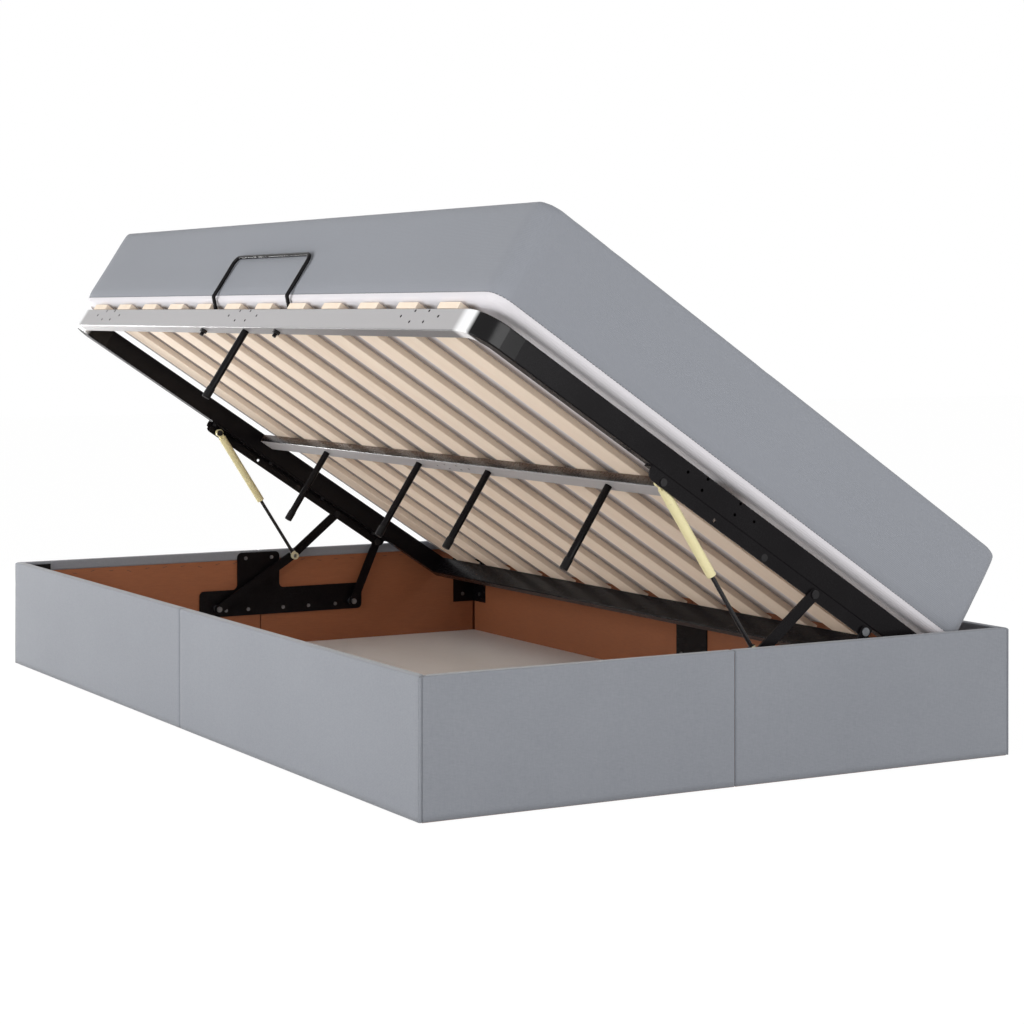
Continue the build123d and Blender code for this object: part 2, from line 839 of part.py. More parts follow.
for place in bracket_bolt_places:
    spot = Pos(rail_inner + tube_width / 2, -place, -tube_depth - upper_plate_thickness)
    head = Pos(0, 0, -bolt_head_height) * hexagon(bolt_head_flats, bolt_head_height)
    shank = round_bar(bolt_radius, -bolt_head_height, upper_plate_thickness + tube_wall + bolt_end_reach)
    bracket_bolts.append(spot * (head + shank))
    tool = spot * round_bar(bolt_radius, -overrun, upper_plate_thickness + tube_wall + overrun)
    upper_bracket = upper_bracket - tool
    right_rail = right_rail - tool

# rivets of the links and struts on the upper brackets
link_rivets = []
spot = (-front_link_pivot, row_n)
rivet_end = link_outer + pin_head_gap
rivet = pin(spot, pin_head_radius, leaf_inner - pin_head_height, leaf_inner)
rivet = rivet + pin(spot, pin_radius, leaf_inner - pin_head_height, rivet_end)
rivet = rivet + pin(spot, pin_head_radius, rivet_end, rivet_end + pin_head_height)
link_rivets.append(rivet)
spot = (-rear_link_pivot, row_n)
rivet = pin(spot, pin_head_radius, leaf_inner - pin_head_height, leaf_inner)
link_rivets.append(rivet + pin(spot, pin_radius, leaf_inner, leaf_outer))
spot = (-strut_pivot, row_n)
rivet = pin(spot, strut_collar_radius, leaf_outer, leaf_outer + pin_head_height)
rivet = rivet + pin(spot, strut_collar_radius, eye_outer + pin_head_gap, leaf_inner)
head_start = eye_inner - pin_head_gap
rivet = rivet + pin(spot, pin_radius, head_start - pin_head_height, leaf_outer + pin_head_height)
rivet = rivet + pin(spot, strut_collar_radius, head_start - pin_head_height, head_start)
link_rivets.append(rivet)
link_rivets.append(pin((-stop_stud_place, row_n), stop_stud_radius, leaf_inner, leaf_outer))

front_tube = cut_all(front_tube, slat_tools + leg_bolt_holes + handle_holes)
rear_tube = cut_all(rear_tube, slat_tools)
middle_bar = cut_all(middle_bar, slat_tools + leg_bolt_holes)

# mattress with a crowned top
half_m_length = mattress_length / 2
half_m_width = mattress_width / 2
mattress_edge = mattress_height - mattress_crown


def mattress_section(x, crown):
    left = (-half_m_width, mattress_edge)
    right = (half_m_width, mattress_edge)
    arc = ThreePointArc(right, (0, mattress_edge + crown), left)
    sides = Polyline(left, (-half_m_width, 0), (half_m_width, 0), right)
    return Pos(x, 0, 0) * (Plane.YZ * make_face(arc + sides))


mattress = loft(
    [
        mattress_section(-half_m_length, mattress_end_crown),
        mattress_section(0, mattress_crown),
        mattress_section(half_m_length, mattress_end_crown),
    ]
)
corners = []
for edge in mattress.edges():
    middle = edge.center()
    if abs(middle.X) > half_m_length - overrun and abs(middle.Y) > half_m_width - overrun:
        corners.append(edge)
mattress = fillet(corners, mattress_corner)
mattress = fillet(mattress.edges().group_by(Axis.Z)[0], mattress_base_rounding)
top_edges = [edge for edge in mattress.edges() if abs(edge.center().Z - mattress_edge) < overrun]
mattress = fillet(top_edges, mattress_top_rounding)
mattress = Pos(0, -half_m_width, slat_thickness) * mattress

platform = [
    ("frame_front_tube", [front_tube]),
    ("frame_right_rail", [right_rail]),
    ("frame_left_rail", left_of([right_rail])),
    ("frame_rear_tube", [rear_tube]),
    ("frame_middle_bar", [middle_bar]),
    ("support_legs", legs),
    ("support_leg_caps", leg_caps),
    ("upper_bracket_right", [upper_bracket]),
    ("upper_bracket_left", left_of([upper_bracket])),
    ("platform_bolts", bracket_bolts + left_of(bracket_bolts) + leg_bolts + handle_nuts + slat_screws),
    ("upper_link_pins", link_rivets + left_of(link_rivets)),
    ("lift_handle", [lift_handle]),
    ("mattress", [mattress]),
]
for number, slat in enumerate(slats):
    platform.append((f"slat_{number + 1:02d}", [slat]))
for name, shapes in platform:
    save(name, [raised_place * shape for shape in shapes])
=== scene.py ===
"""Dresses the ottoman storage bed: upholstery, mattress, painted steel, slats, struts and the studio."""

from math import cos, pi, radians, sin, sqrt

import bmesh
import bpy
from mathutils import Matrix, Vector
from mathutils.bvhtree import BVHTree


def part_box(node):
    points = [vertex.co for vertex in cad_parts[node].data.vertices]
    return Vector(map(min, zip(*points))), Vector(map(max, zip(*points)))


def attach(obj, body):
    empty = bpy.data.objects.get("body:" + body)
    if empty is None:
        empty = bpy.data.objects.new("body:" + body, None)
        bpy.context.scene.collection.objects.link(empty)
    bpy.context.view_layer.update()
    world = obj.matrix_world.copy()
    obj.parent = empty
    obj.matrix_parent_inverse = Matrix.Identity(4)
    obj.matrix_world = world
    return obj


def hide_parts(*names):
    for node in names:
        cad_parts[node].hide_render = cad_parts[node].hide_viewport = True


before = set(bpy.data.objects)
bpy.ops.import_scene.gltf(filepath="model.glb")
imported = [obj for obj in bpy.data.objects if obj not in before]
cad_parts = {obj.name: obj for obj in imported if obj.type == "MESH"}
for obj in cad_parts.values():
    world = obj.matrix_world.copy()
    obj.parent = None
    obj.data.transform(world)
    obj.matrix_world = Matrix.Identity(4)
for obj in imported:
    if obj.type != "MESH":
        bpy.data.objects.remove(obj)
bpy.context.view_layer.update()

bl_info = {
    "name": "Ottoman storage bed",
    "version": (1, 0, 0),
    "blender": (4, 5, 0),
    "location": "View3D > Sidebar > Bed",
    "description": "Finishes and soft pieces of an ottoman storage bed",
    "category": "Object",
}


# ---- places

MM = 0.001
BOX_LOW, BOX_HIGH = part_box("front_cover_left")[0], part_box("rear_cover_right")[1]
HALF_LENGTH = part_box("right_end_cover_rear")[1][0]
HALF_WIDTH = BOX_HIGH[1]
BOX_HEIGHT = BOX_HIGH[2]
COVER_FOOT = BOX_LOW[2]
WALL = 19 * MM
FOLD_DROP = 22 * MM

LIFT_ANGLE = radians(33.25)
REAR_REACH = 93.1 * MM
REAR_RISE = 186.5 * MM
REAR_EDGE = Vector((0.0, HALF_WIDTH - WALL - REAR_REACH, REAR_RISE))
ALONG = Vector((0.0, -cos(LIFT_ANGLE), sin(LIFT_ANGLE)))
UPWARD = Vector((0.0, sin(LIFT_ANGLE), cos(LIFT_ANGLE)))
RAISED = Matrix.Translation(REAR_EDGE) @ Matrix.Rotation(-LIFT_ANGLE, 4, "X")
SEAM_LEVEL = 33 * MM
STRUT_EYE = Vector((0.0, 78.42 * MM, 225.29 * MM))


def paint(red, green, blue):
    """A finish colour from its 0-255 screen values, as linear light."""
    parts = []
    for value in (red, green, blue):
        share = value / 255
        parts.append(share / 12.92 if share <= 0.04045 else ((share + 0.055) / 1.055) ** 2.4)
    return tuple(parts)


# ---- materials


class Value:
    """A number in a material's nodes, with the usual arithmetic."""

    def __init__(self, finish, socket):
        self.finish = finish
        self.socket = socket

    def math(self, operation, *terms, clamp=False):
        settings = {"operation": operation, "use_clamp": clamp}
        made = self.finish.node("ShaderNodeMath", settings, dict(enumerate(terms)))
        return Value(self.finish, made.outputs[0])

    def __add__(self, other):
        return self.math("ADD", self, other)

    __radd__ = __add__

    def __sub__(self, other):
        return self.math("SUBTRACT", self, other)

    def __rsub__(self, other):
        return self.math("SUBTRACT", other, self)

    def __mul__(self, other):
        return self.math("MULTIPLY", self, other)

    __rmul__ = __mul__

    def __abs__(self):
        return self.math("ABSOLUTE", self)

    def limited(self):
        return self.math("ADD", self, 0.0, clamp=True)

    def above(self, edge, blur):
        """0 below the edge and 1 above it, with a soft step this wide."""
        return ((self - (edge - blur / 2)) * (1 / blur)).limited()

    def wave(self, period):
        """0 to 1 and back over each period."""
        swing = self.math("SINE", self * (2 * pi / period))
        return swing * 0.5 + 0.5


class Finish:
    """A material with one surface shader and the nodes that vary it."""

    def __init__(self, name, roughness=0.5, metallic=0.0, specular=0.5):
        self.material = bpy.data.materials.new(name)
        self.material.use_nodes = True
        self.tree = self.material.node_tree
        self.tree.nodes.clear()
        self.surface = self.node("ShaderNodeBsdfPrincipled")
        self.surface.inputs["Roughness"].default_value = roughness
        self.surface.inputs["Metallic"].default_value = metallic
        self.surface.inputs["Specular IOR Level"].default_value = specular
        end = self.node("ShaderNodeOutputMaterial")
        self.tree.links.new(self.surface.outputs[0], end.inputs[0])
        self.place = self.node("ShaderNodeTexCoord").outputs["Object"]

    def node(self, kind, settings=None, values=None):
        made = self.tree.nodes.new(kind)
        for name, value in (settings or {}).items():
            setattr(made, name, value)
        for name, value in (values or {}).items():
            self.put(made.inputs[name], value)
        return made

    def put(self, socket, value):
        if isinstance(value, Value):
            value = value.socket
        if isinstance(value, bpy.types.NodeSocket):
            self.tree.links.new(value, socket)
        elif hasattr(value, "__len__") and len(value) == 3 and socket.type == "RGBA":
            socket.default_value = (*value, 1.0)
        else:
            socket.default_value = value

    def axes(self):
        parts = self.node("ShaderNodeSeparateXYZ", values={0: self.place})
        return [Value(self, part) for part in parts.outputs]

    def along(self, direction, start):
        """Distance from start along a direction, in metres."""
        values = {0: self.place, 1: tuple(direction)}
        made = self.node("ShaderNodeVectorMath", {"operation": "DOT_PRODUCT"}, values)
        return Value(self, made.outputs["Value"]) - start.dot(direction)

    def raised(self):
        """Places across, along and above the raised platform."""
        return self.axes()[0], self.along(ALONG, REAR_EDGE), self.along(UPWARD, REAR_EDGE)

    def point(self, x, y, z):
        made = self.node("ShaderNodeCombineXYZ", values={0: x, 1: y, 2: z})
        return made.outputs[0]

    def stretched(self, scale):
        made = self.node("ShaderNodeMapping", values={"Vector": self.place, "Scale": scale})
        return made.outputs[0]

    def noise(self, scale, detail=2.0, roughness=0.5, place=None):
        made = self.node(
            "ShaderNodeTexNoise",
            values={"Vector": place or self.place, "Scale": scale, "Detail": detail, "Roughness": roughness},
        )
        return Value(self, made.outputs["Fac"])

    def mix(self, share, first, second):
        made = self.node("ShaderNodeMix", {"data_type": "RGBA"}, {0: share, 6: first, 7: second})
        return made.outputs[2]

    def shades(self, share, colour, low, high=1.0):
        """From low to high times one colour."""
        return self.mix(share, *[tuple(part * level for part in colour) for level in (low, high)])

    def colour(self, value):
        self.put(self.surface.inputs["Base Color"], value)

    def rough(self, value):
        self.put(self.surface.inputs["Roughness"], value)

    def relief(self, height, distance, strength):
        values = {"Strength": strength, "Distance": distance, "Height": height}
        self.put(self.surface.inputs["Normal"], self.node("ShaderNodeBump", values=values).outputs[0])

    def fixed(self, **values):
        for name, value in values.items():
            self.put(self.surface.inputs[name.replace("_", " ")], value)


def dress(material, *nodes):
    """Gives CAD nodes or pieces this material in every slot."""
    for name in nodes:
        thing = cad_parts[name] if isinstance(name, str) else name
        if not thing.data.materials:
            thing.data.materials.append(material)
        for number in range(len(thing.data.materials)):
            thing.data.materials[number] = material


def named(*words):
    """The CAD nodes with any of these words in their names."""
    return [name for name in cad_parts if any(word in name for word in words)]


def mottled(name, grain, dark, light, rough=None, bump=None, **shader):
    """A finish mottled by one noise; rough is a low and a span, bump another noise with its depth."""
    finish = Finish(name, **shader)
    cloud = finish.noise(*grain)
    finish.colour(finish.mix(cloud, dark, light))
    if rough:
        low, span = rough
        finish.rough(cloud * span + low)
    if bump:
        *fine, distance, strength = bump
        finish.relief(finish.noise(*fine), distance, strength)
    return finish.material


def linen(settings):
    """Plain woven upholstery: crossing threads, uneven yarn and a soft sheen."""
    finish = Finish("grey_woven_upholstery", roughness=0.92, specular=0.25)
    finish.fixed(Sheen_Weight=0.25, Sheen_Roughness=0.5)
    x, y, z = finish.axes()
    across = x + y
    yarn = finish.noise(1.0, 3.0, 0.6, finish.point(across * 420, y * 6, z * 90))
    slub = finish.noise(1.0, 3.0, 0.6, finish.point(across * 90, y * 6, z * 420))
    threads = across.wave(settings.weave) * z.wave(settings.weave)
    melange = (yarn + slub) * 0.5
    worn = finish.noise(2.2, 3.0, 0.55)
    tone = ((melange - 0.5) * 1.4 + 0.5 + (threads - 0.25) * 0.3 + (worn - 0.5) * 0.9).limited()
    shade = finish.mix(tone, tuple(settings.dark), tuple(settings.light))
    finish.colour(finish.mix(0.35, shade, tuple(settings.colour)))
    finish.relief(threads * 0.6 + melange * 0.7, 0.0006, 0.55)
    return finish.material


def mattress_cloth(settings):
    """Grey cover above the seam and white base cloth under it, with a shadow painted on the base cloth beside
    each slat.
    """
    finish = Finish("mattress_cover_cloth", roughness=0.9, specular=0.2)
    finish.fixed(Sheen_Weight=0.2, Sheen_Roughness=0.5)
    x, run, level = finish.raised()
    knit = x.wave(settings.knit) * run.wave(settings.knit) + level.wave(settings.knit) * 0.5
    grain = finish.noise(300.0, 3.0, 0.6)
    broad = finish.noise(1.6, 2.0, 0.5)
    tone = (grain * 0.7 + broad * 0.3 + (knit - 0.5) * 0.15).limited()
    grey = finish.shades(tone, settings.cover, 0.92, 1.08)
    base = finish.shades((grain * 0.5 + broad * 0.5).limited(), settings.base, 0.93)
    # Painted shadow: a dark brown band on the underside's base cloth beside each slat, where the slat's
    # shadow falls.
    from_slat = x - settings.slat_edge
    from_slat = from_slat.math("WRAP", from_slat, settings.slat_pitch, 0.0)
    in_slat_shadow = 1 - from_slat.above(settings.slat_shadow_width, settings.slat_shadow_width)
    under = (1 - level.above(0.016, 0.002)) * (1 - run.above(1.19, 0.01))
    base = finish.mix(in_slat_shadow * under * 0.85, base, tuple(settings.rub_and_shadow))
    finish.colour(finish.mix(level.above(settings.seam_level, 0.0016), base, grey))
    finish.relief(grain * 0.5 + knit * 0.5, 0.0008, 0.5)
    return finish.material


def gloss_black(name, colour, scratch):
    """Stoved black paint with a wavy gloss, patches of dust and fine scratches."""
    finish = Finish(name, roughness=0.3, specular=0.1)
    finish.fixed(Coat_IOR=1.4, Coat_Roughness=0.12, Coat_Weight=0.06)
    peel = finish.noise(260.0, 2.0, 0.5)
    dust = finish.noise(9.0, 4.0, 0.6)
    lines = finish.noise(60.0, 2.0, 0.5, finish.stretched((1.0, 14.0, 14.0)))
    dusty = tuple(part * 1.9 + 0.004 for part in colour)
    finish.colour(finish.mix((dust - 0.35).limited() * 0.5, colour, dusty))
    finish.rough((lines - 0.5) * scratch * 0.4 + dust * 0.12 + 0.2)
    finish.relief(peel, 0.0004, 0.12)
    return finish.material


def satin(finish):
    """The slow cloud and the fine grain of the satin bars."""
    return finish.noise(3.0, 3.0, 0.5, finish.stretched((0.6, 3.0, 3.0))), finish.noise(180.0, 2.0, 0.5)


def front_bar_paint_and_reflection(settings):
    """Black gloss tube with a pale painted reflection on the satin outer faces of its straight run and a
    painted highlight where the bends begin; a darker black inside, in the holes and past the bends.
    """
    finish = Finish("satin_bar_paint", roughness=0.32, specular=0.2)
    x, run, level = finish.raised()
    cloud, fine = satin(finish)
    reach = abs(x)
    front, foot = settings.bar_front, -settings.bar_depth
    skin, edge_round = 0.6 * MM, 3.0 * MM
    blur = 0.4 * MM
    face = run.above(front - skin, blur)
    under = (1 - level.above(foot + 0.7 * MM, blur)) * run.above(settings.pale_start, 0.006)
    round_edge = run.above(front - edge_round, blur) * (1 - level.above(foot + edge_round, blur))
    bend = reach.above(settings.bend_start, 0.004) * run.above(1.15, 0.004)
    straight = 1 - reach.above(settings.pale_reach, 0.008)
    # Painted reflection: the outward faces of the straight run take the pale colour that stands for the
    # bright room mirrored in the black gloss tube; the rest takes a darker black.
    pale_part = straight * (face + under + round_edge + bend).limited()
    pale = finish.shades((cloud * 0.7 + fine * 0.3).limited(), settings.pale, 0.93, 1.05)
    # Painted shade: the bottom lip darkens towards +x, down to half the pale colour.
    edge = finish.shades(x.above(0.05, 1.2), settings.pale, 1.0, 0.5)
    toned = finish.mix(1 - level.above(foot + 2 * MM, MM), pale, edge)
    # Painted highlight: the outer faces turn near white where the bends begin, before the black.
    toned = finish.mix(reach.above(settings.bend_start + 0.005, 0.02), toned, tuple(settings.bend_highlight))
    finish.colour(finish.mix(pale_part, tuple(part * 0.6 for part in settings.black), toned))
    finish.put(finish.surface.inputs["Metallic"], pale_part * 0.15)
    finish.rough(0.22 + pale_part * 0.16 + (fine - 0.5) * 0.1)
    finish.relief(fine, 0.0004, 0.1)
    return finish.material


def middle_bar_paint_and_reflection(settings):
    """The middle bar: black gloss with a pale painted reflection on its satin underside and a brown painted
    reflection on the upper part of its sides; black below that, inside and in its holes.
    """
    finish = Finish("satin_middle_bar", roughness=0.3, specular=0.4)
    x, run, level = finish.raised()
    cloud, fine = satin(finish)
    # Painted reflection: the underside takes the pale colour.
    under = 1 - level.above(-settings.middle_depth + 0.6 * MM, 0.4 * MM)
    # Painted reflection: the sides run from black up to a brown reflection.
    side = finish.mix(level.above(-0.008, 0.014), tuple(settings.black), tuple(settings.brown_reflection))
    pale = finish.shades((cloud * 0.7 + fine * 0.3).limited(), settings.pale, 0.88, 1.04)
    finish.colour(finish.mix(under, side, pale))
    finish.rough(0.28 + under * 0.12 + (fine - 0.5) * 0.1)
    finish.relief(fine, 0.0004, 0.1)
    return finish.material


def blackened_steel():
    """Bolts and rivets of the platform: blackened, with a lighter mottle."""
    dark, light = paint(12, 11, 12), paint(34, 32, 34)
    bump = (500.0, 2.0, 0.5, 0.0002, 0.2)
    return mottled("blackened_steel", (60.0, 3.0, 0.6), dark, light, (0.22, 0.25), bump, specular=0.25)


def zinc():
    dark, light = paint(92, 94, 98), paint(150, 152, 155)
    bump = (500.0, 2.0, 0.5, 0.0002, 0.2)
    return mottled("zinc_plated_steel", (40.0, 3.0, 0.6), dark, light, (0.25, 0.25), bump, metallic=0.9)


def slat_wood(settings):
    """Pale layered birch with grain along the slat."""
    finish = Finish("birch_slat_wood", roughness=0.55, specular=0.35)
    x, run, level = finish.raised()
    figure = finish.noise(1.0, 4.0, 0.6, finish.point(x * 34, run * 1.6, level * 40))
    streak = finish.noise(1.0, 2.0, 0.5, finish.point(x * 320, run * 5, level * 60))
    plank = finish.noise(1.0, 0.0, 0.5, finish.point(x * 6.43, run * 0.2, level * 0.2))
    ply = level.wave(0.0033)
    tone = (figure * 0.55 + streak * 0.3 + plank * 0.25 - 0.05 + ply * 0.03).limited()
    finish.colour(finish.mix(tone, tuple(settings.grain), tuple(settings.wood)))
    finish.rough(0.45 + streak * 0.2)
    finish.relief(streak * 0.6 + figure * 0.4, 0.0005, 0.25)
    return finish.material


def board_face(settings):
    """Dark brown board with short wood fibres showing through its coat."""
    finish = Finish("brown_panel_board", roughness=0.6, specular=0.35)
    x, y, z = finish.axes()
    fibre = finish.noise(1.0, 4.0, 0.65, finish.point((x + y) * 40, y * 3, z * 330))
    cloud = finish.noise(5.0, 3.0, 0.5)
    finish.colour(finish.shades((fibre * 0.7 + cloud * 0.3).limited(), settings.board, 0.72, 1.3))
    finish.rough(0.5 + fibre * 0.2)
    finish.relief(fibre, 0.0004, 0.25)
    return finish.material


def floor_sheet(settings):
    """White-coated hardboard with a faint mottle and scuffs."""
    finish = Finish("white_hardboard_sheet", roughness=0.5, specular=0.35)
    mottle = finish.noise(30.0, 4.0, 0.6)
    scuff = finish.noise(4.0, 5.0, 0.65, finish.stretched((0.5, 3.0, 1.0)))
    finish.colour(finish.shades((mottle * 0.6 + scuff * 0.4).limited(), settings.floor, 0.9))
    finish.rough(0.4 + scuff * 0.2)
    finish.relief(mottle, 0.0003, 0.15)
    return finish.material


def cylinder_paint(settings):
    """Pale yellow gas cylinders with duller rubbed patches."""
    finish = Finish("pale_yellow_cylinder", roughness=0.35)
    cloud = finish.noise(25.0, 3.0, 0.5)
    rub_and_shadow = finish.noise(90.0, 4.0, 0.7)
    body = finish.shades(cloud, settings.cylinder, 0.9, 1.05)
    finish.colour(finish.mix(rub_and_shadow.above(0.7, 0.1) * 0.4, body, paint(180, 172, 140)))
    finish.rough(0.28 + rub_and_shadow * 0.15)
    finish.relief(rub_and_shadow, 0.0003, 0.15)
    return finish.material


def rod_steel():
    """Dark piston rods with pale moulded eyes at their lower ends."""
    finish = Finish("dark_rod_steel", roughness=0.22, specular=0.4)
    ring = finish.noise(1.0, 3.0, 0.6, finish.stretched((120, 120, 600)))
    x, y, z = finish.axes()
    y, z = y - STRUT_EYE.y, z - STRUT_EYE.z
    past_eye = (y * y + z * z).above(0.013 ** 2, 0.00002)
    steel = finish.mix(ring, paint(16, 15, 16), paint(40, 38, 40))
    finish.colour(finish.mix(past_eye, paint(206, 198, 168), steel))
    finish.rough(ring * 0.15 + 0.15)
    finish.relief(ring, 0.0001, 0.1)
    return finish.material


def cap_plastic():
    dark, light = paint(12, 11, 12), paint(24, 23, 25)
    grain = (700.0, 2.0, 0.5)
    bump = (*grain, 0.0003, 0.3)
    return mottled("moulded_black_plastic", grain, dark, light, (0.42, 0.2), bump, specular=0.15)


def staple_wire():
    dark, light = paint(44, 42, 42), paint(84, 82, 80)
    return mottled("dark_staple_wire", (300.0, 2.0, 0.5), dark, light, (0.3, 0.2), metallic=0.8)


def seam_thread():
    colour = paint(96, 98, 104)
    grain = (900.0, 2.0, 0.5)
    dark = tuple(part * 0.8 for part in colour)
    bump = (*grain, 0.0003, 0.4)
    return mottled("grey_seam_thread", grain, dark, colour, None, bump, roughness=0.85, specular=0.2)


# ---- mesh work


def mesh_piece(name, made, material):
    """A new object at the origin from a bmesh, with outward faces."""
    mesh = bpy.data.meshes.new(name)
    made.to_mesh(mesh)
    made.free()
    mesh.materials.append(material)
    for face in mesh.polygons:
        face.use_smooth = True
    piece = bpy.data.objects.new(name, mesh)
    bpy.context.scene.collection.objects.link(piece)
    return piece


def settle(piece):
    """Replaces a piece's mesh by what its modifiers make, and removes them."""
    graph = bpy.context.evaluated_depsgraph_get()
    mesh = bpy.data.meshes.new_from_object(piece.evaluated_get(graph))
    piece.modifiers.clear()
    old = piece.data
    piece.data = mesh
    if old.users == 0:
        bpy.data.meshes.remove(old)


def node_copy(name):
    """A merged copy of a CAD node's mesh, as a bmesh."""
    made = bmesh.new()
    made.from_mesh(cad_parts[name].data)
    bmesh.ops.remove_doubles(made, verts=made.verts, dist=0.00002)
    return made


def ripple(x, z, seed):
    """A small smooth unevenness, between about -1 and 1."""
    first = sin(x * 7.3 + seed * 1.7) * sin(z * 19.0 + seed * 0.9)
    second = sin(x * 23.1 + z * 11.0 + seed * 2.3)
    third = sin(x * 61.0 + seed * 5.1) * sin(z * 43.0 - x * 9.0)
    return first * 0.5 + second * 0.3 + third * 0.2


# ---- cover shells

CREASE_REACH = 2.1 * MM
SEAM_GAP = 0.4 * MM

# each wall's point from a place along it, a depth into it and a height
PLACES = {
    "front": lambda run, depth, height: Vector((run, -HALF_WIDTH + depth, height)),
    "rear": lambda run, depth, height: Vector((run, HALF_WIDTH - depth, height)),
    "right": lambda run, depth, height: Vector((HALF_LENGTH - depth, run, height)),
    "left": lambda run, depth, height: Vector((-HALF_LENGTH + depth, run, height)),
}


def cover_profile(thickness):
    """One cover's section, outside and inside, as (depth into the wall, height) points from foot to fold."""
    outer, inner = [], []
    rim, back = 4 * MM, 2.2 * MM
    thin = 0.9 * MM
    top, foot = BOX_HEIGHT, COVER_FOOT
    fold_foot = top - FOLD_DROP + 0.4 * MM
    steps, turns = 20, 5
    for number in range(steps + 1):
        height = foot + (top - rim - foot) * number / steps
        outer.append((0.0, height))
        inner.append((thickness, height))
    small = rim - thickness * 0.9
    for number in range(1, turns + 1):
        turn = pi / 2 * number / turns
        outer.append((rim - rim * cos(turn), top - rim + rim * sin(turn)))
        inner.append((rim - small * cos(turn), top - rim + small * sin(turn)))
    outer.append((WALL / 2, top))
    inner.append((WALL / 2, top - thickness * 0.9))
    for number in range(turns):
        turn = pi / 2 * number / (turns - 1)
        for points, radius in ((outer, back), (inner, back - thin)):
            points.append((WALL - back + radius * sin(turn), top - back + radius * cos(turn)))
    for number in range(1, turns + 1):
        height = top - back + (fold_foot - top + back) * number / turns
        outer.append((WALL, height))
        inner.append((WALL - thin, height))
    return outer, inner


def cover_runs(length, rounding, crease, mitre_start, mitre_end):
    """Places along a cover where its section is laid: closer at its ends and at a crease."""
    near = [rounding * share for share in (0.0, 0.04, 0.15, 0.35, 0.65, 1.0)]
    count = max(8, int(length / 0.012))
    runs = near + [rounding + (length - 2 * rounding) * n / count for n in range(1, count)]
    runs += [length - value for value in reversed(near)]
    if crease:
        beside = [crease + step * CREASE_REACH / 3 for step in range(-4, 5)]
        runs += [value for value in beside if mitre_start] + [length - value for value in beside if mitre_end]
    return sorted(runs)


def cover_shell(name, start, end, mitre_start, mitre_end, place, settings, seed, material, creased):
    """Upholstery cloth pulled over one board, from start to end along the wall.

    place turns (run, depth, height) into a point; a mitred end shortens with depth.
    A creased cover has the neighbouring cloth's edge pressed into it beside its mitred end.
    """
    outer, inner = cover_profile(settings.thickness)
    rounding = settings.seam_rounding
    deepest = settings.thickness * 0.95
    length = end - start
    crease = settings.crease_place if creased else 0.0
    made = bmesh.new()
    rings = []
    for run in cover_runs(length, rounding, crease, mitre_start, mitre_end):
        edge = min(run, length - run)
        inset = 0.0
        if edge < rounding:
            inset = min(deepest, rounding - sqrt(max(rounding ** 2 - (rounding - edge) ** 2, 0.0)))
        from_mitre = min(run if mitre_start else length, length - run if mitre_end else length)
        from_crease = abs(from_mitre - crease)
        if creased and from_crease < CREASE_REACH:
            inset = max(inset, settings.thickness * 0.9 * (1 - from_crease / CREASE_REACH))
        pull = 0.4 + 0.6 * max(0.0, 1 - edge / 0.09)
        ring = []
        for side, points in ((1, outer), (-1, inner[::-1])):
            for depth, height in points:
                low = start + depth * mitre_start
                high = end - depth * mitre_end
                where = low + (high - low) * run / length
                if side == -1 or depth >= WALL - 0.1 * MM:
                    ring.append(place(where, depth, height))
                    continue
                if height >= BOX_HEIGHT - 0.1 * MM:
                    ring.append(place(where, depth, height - inset))
                    continue
                soft = 0.0
                if depth == 0.0:
                    rise = (height - COVER_FOOT) / (BOX_HEIGHT - COVER_FOOT)
                    soft = settings.slack * pull * (0.5 + 0.5 * ripple(where, height, seed)) * (1 - rise ** 6)
                    if height < COVER_FOOT + 4 * MM:
                        soft += 0.5 * MM
                lean = min(1.0, max(0.0, 1 - (BOX_HEIGHT - height) / (4 * MM)))
                ring.append(place(where, depth + (inset + soft) * (1 - lean), height - inset * lean))
        rings.append([made.verts.new(point) for point in ring])
    size = len(rings[0])
    for first, second in zip(rings, rings[1:]):
        for number in range(size):
            after = (number + 1) % size
            made.faces.new((first[number], first[after], second[after], second[number]))
    for ring in (rings[0], rings[-1]):
        for number in range(len(outer) - 1):
            made.faces.new((ring[number], ring[number + 1], ring[size - 2 - number], ring[size - 1 - number]))
    bmesh.ops.recalc_face_normals(made, faces=made.faces)
    outline = sum(sqrt((b[0] - a[0]) ** 2 + (b[1] - a[1]) ** 2) for a, b in zip(outer, outer[1:]))
    return mesh_piece(name, made, material), outline


# ---- node groups


def node_group(name, inputs):
    """An empty geometry node tree with named number inputs; returns it with its sockets and ends."""
    tree = bpy.data.node_groups.new(name, "GeometryNodeTree")
    tree.interface.new_socket("Geometry", in_out="INPUT", socket_type="NodeSocketGeometry")
    sockets = {}
    for label, kind in inputs.items():
        sockets[label] = tree.interface.new_socket(label, in_out="INPUT", socket_type=kind)
    tree.interface.new_socket("Geometry", in_out="OUTPUT", socket_type="NodeSocketGeometry")
    return tree, sockets, tree.nodes.new("NodeGroupInput"), tree.nodes.new("NodeGroupOutput")


def add_node(tree, kind, settings=None, values=None):
    """A node with its settings, and the numbers or links of its sockets."""
    made = tree.nodes.new(kind)
    for name, value in (settings or {}).items():
        setattr(made, name, value)
    for name, value in (values or {}).items():
        socket = made.inputs[name]
        if isinstance(value, bpy.types.NodeSocket):
            tree.links.new(value, socket)
        else:
            socket.default_value = value
    return made


